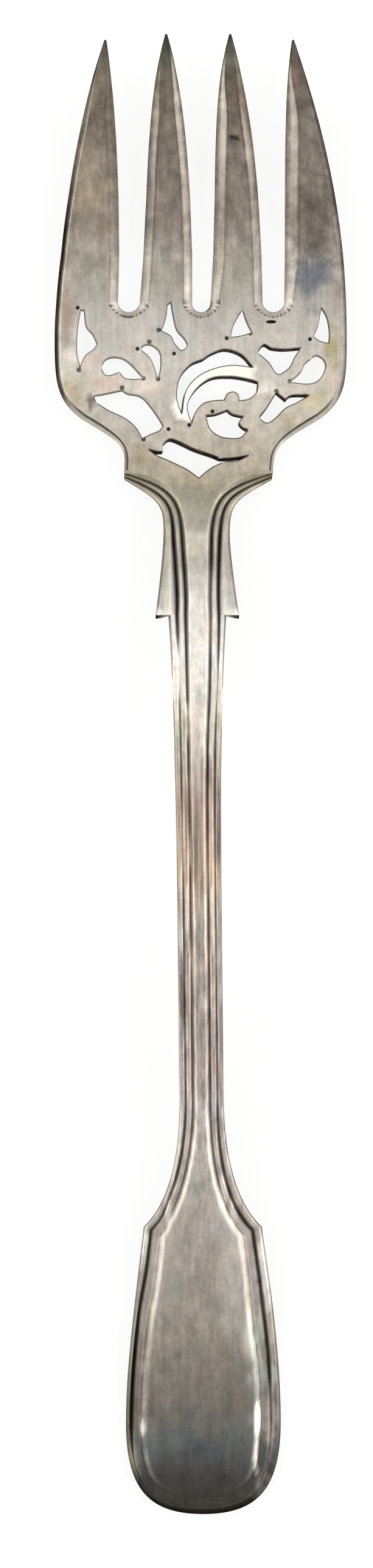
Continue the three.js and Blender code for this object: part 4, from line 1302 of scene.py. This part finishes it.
def aged_silver(name, along, patches):
    """Worn silver: tones along the fork, mottling, lengthwise streaks, tarnish patches, dark hollows with
    painted shade, and rubbed rims with painted highlights.
    """
    material = bpy.data.materials.new(name)
    material.use_nodes = True
    tree = material.node_tree
    shader = tree.nodes["Principled BSDF"]
    place = add(tree, "TexCoord")["Object"]
    lengthwise = add(tree, "Mapping", Vector=place, Scale=(1, 0.03, 1))[0]
    drawn_out = add(tree, "Mapping", Vector=place, Scale=(1, 0.4, 1))[0]
    mottle = add(tree, "TexNoise", Vector=place, Scale=420, Detail=8, Roughness=0.65)["Fac"]
    speck = add(tree, "TexNoise", Vector=place, Scale=1800, Detail=3, Roughness=0.6)["Fac"]
    streak = add(tree, "TexNoise", Vector=lengthwise, Scale=1500, Detail=5, Roughness=0.6)["Fac"]
    smear = add(tree, "TexNoise", Vector=drawn_out, Scale=520, Detail=5, Roughness=0.65)["Fac"]
    blotch = add(tree, "TexNoise", Vector=place, Scale=190, Detail=4, Roughness=0.7)["Color"]
    blotches = add(tree, "SeparateColor", Color=blotch)

    # Tones along the fork, with the stains and painted highlights of the patches on what faces up
    length = add(tree, "SeparateXYZ", Vector=place)["Y"]
    share = add(tree, "MapRange", Value=length, From_Min=END_Y * MM, From_Max=TIP_Y * MM)[0]
    plain = along_fork(tree, share, along)
    up = add(tree, "SeparateXYZ", Vector=add(tree, "TexCoord")["Normal"])["Z"]
    facing = add(tree, "MapRange", Value=up, From_Min=-0.3, From_Max=0.1)[0]
    colour = mixed(tree, "MIX", facing, plain, stained(tree, place, mottle, plain, patches))

    # Mottling, warm and cool blotches, smears, pale and dull blotches, streaks and specks
    spotty = along_fork(tree, share, MOTTLING)
    lined = along_fork(tree, share, STREAKS)
    layers = [
        (spotty, mottle, [(0.3, 0.45), (0.5, 0.95), (0.7, 1.5)]),
        (1, blotches[0], [(0.35, (0.96, 0.99, 1)), (0.5, (1, 1, 1)), (0.65, (1.04, 1, 0.96))]),
        (spotty, smear, [(0.36, 0.6), (0.5, 1), (0.64, 1.4)]),
        (1, blotches[1], [(0.32, 0.88), (0.5, 1), (0.68, 1.1)]),
        (lined, streak, [(0.35, 0.45), (0.5, 1), (0.65, 1.5)]),
        (0.7, speck, [(0.32, 0.85), (0.5, 1.03)]),
    ]
    for amount, noise, stops in layers:
        colour = mixed(tree, "MULTIPLY", amount, colour, ramp(tree, noise, stops))

    # Dirt and painted shade in the hollows, broken up by the streaks, and rims rubbed bright and painted
    # highlights
    hollow = add(tree, "Attribute", {"attribute_name": "hollow"})["Fac"]
    broken = maths(tree, "MULTIPLY_ADD", streak, 0.6, -0.3)
    dirt_and_shade = maths(tree, "MULTIPLY_ADD", broken, hollow, hollow, clamp=True)
    rubbed_and_highlight = maths(tree, "MULTIPLY", hollow, -1, clamp=True)
    colour = mixed(tree, "MIX", dirt_and_shade, colour, DIRT_AND_SHADE)
    colour = mixed(tree, "MIX", rubbed_and_highlight, colour, RUBBED_SILVER_AND_HIGHLIGHT)
    tree.links.new(colour, shader.inputs["Base Color"])
    tree.links.new(maths(tree, "SUBTRACT", 1, dirt_and_shade), shader.inputs["Metallic"])
    shader.inputs["Specular IOR Level"].default_value = 0
    rough = add(tree, "MapRange", Value=mottle, From_Min=0.3, From_Max=0.7, To_Min=0.42, To_Max=0.28)[0]
    tree.links.new(rough, shader.inputs["Roughness"])
    height = maths(tree, "MULTIPLY_ADD", speck, 0.3, streak)
    bump = add(tree, "Bump", Strength=0.25, Distance=0.00012, Height=height)[0]
    tree.links.new(bump, shader.inputs["Normal"])
    return material


def seen_directly(tree):
    """1 for the rays that show the background itself, from the camera, off metal or through glass, else 0."""
    rays = add(tree, "LightPath")
    direct = maths(tree, "MAXIMUM", rays["Is Camera Ray"], rays["Is Glossy Ray"])
    return maths(tree, "MAXIMUM", direct, rays["Is Transmission Ray"])


def make_floor():
    """White floor that keeps a soft shadow."""
    bm = bmesh.new()
    bmesh.ops.create_grid(bm, x_segments=1, y_segments=1, size=FLOOR_HALF)
    floor = mesh_object("floor", bm)
    material = bpy.data.materials.new("white floor")
    material.use_nodes = True
    tree = material.node_tree
    shader = tree.nodes["Principled BSDF"]
    shader.inputs["Base Color"].default_value = FLOOR_GREY
    shader.inputs["Roughness"].default_value = 0.9
    shader.inputs["Specular IOR Level"].default_value = 0
    shader.inputs["Emission Color"].default_value = WHITE
    glow = maths(tree, "MULTIPLY", seen_directly(tree), FLOOR_GLOW)
    tree.links.new(glow, shader.inputs["Emission Strength"])
    floor.data.materials.append(material)


def make_room():
    """Pale room, white where it is seen directly, and dark far to the left except to the camera."""
    world = bpy.data.worlds.new("soft room")
    world.use_nodes = True
    sky = world.node_tree
    level = add(sky, "MapRange", Value=seen_directly(sky), To_Min=0.6, To_Max=1)[0]
    way = add(sky, "SeparateXYZ", Vector=add(sky, "TexCoord")["Generated"])["X"]
    shade = add(sky, "MapRange", Value=way, From_Min=-0.95, From_Max=-0.75, To_Min=0.1, To_Max=1)[0]
    lit = maths(sky, "MAXIMUM", shade, add(sky, "LightPath")["Is Camera Ray"])
    background = sky.nodes["Background"]
    sky.links.new(maths(sky, "MULTIPLY", level, lit), background.inputs["Strength"])
    background.inputs["Color"].default_value = WHITE
    bpy.context.scene.world = world


def soft_lamp(name, place, target, width, height, radiance):
    """Rectangular lamp of the given brightness, facing its target; places in metres."""
    lamp = bpy.data.lights.new(name, "AREA")
    lamp.shape = "RECTANGLE"
    lamp.size = width
    lamp.size_y = height
    lamp.energy = radiance * math.pi * width * height
    lamp.color = LAMP_COLOUR
    obj = placed(name, lamp)
    obj.location = place
    obj.rotation_mode = "QUATERNION"
    obj.rotation_quaternion = (Vector(target) - Vector(place)).to_track_quat("-Z", "Y")


def make_camera():
    """Camera straight above and far away, with colours shown as they are."""
    camera = bpy.data.cameras.new("camera")
    camera.lens = CAMERA_LENS
    eye = placed("camera", camera)
    eye.location = CAMERA_PLACE
    bpy.context.scene.camera = eye
    bpy.context.scene.view_settings.view_transform = "Standard"


make_head(aged_silver("head silver", HEAD_TONES, HEAD_PATCHES))
make_handle(aged_silver("handle silver", HANDLE_TONES, HANDLE_PATCHES))
make_solder(aged_silver("hard solder", HANDLE_TONES, []))
make_floor()
make_room()
soft_lamp("lamp_beyond_tips", (0, 0.42, 1.05), (0, 0.03, 0), width=1.1, height=0.22, radiance=1.6)
soft_lamp("lamp_left", (-0.9, 0, 0.7), (0, 0, 0), width=1.6, height=0.8, radiance=1.4)
soft_lamp("lamp_right", (0.9, 0, 0.7), (0, 0, 0), width=1.6, height=0.8, radiance=1.55)
make_camera()
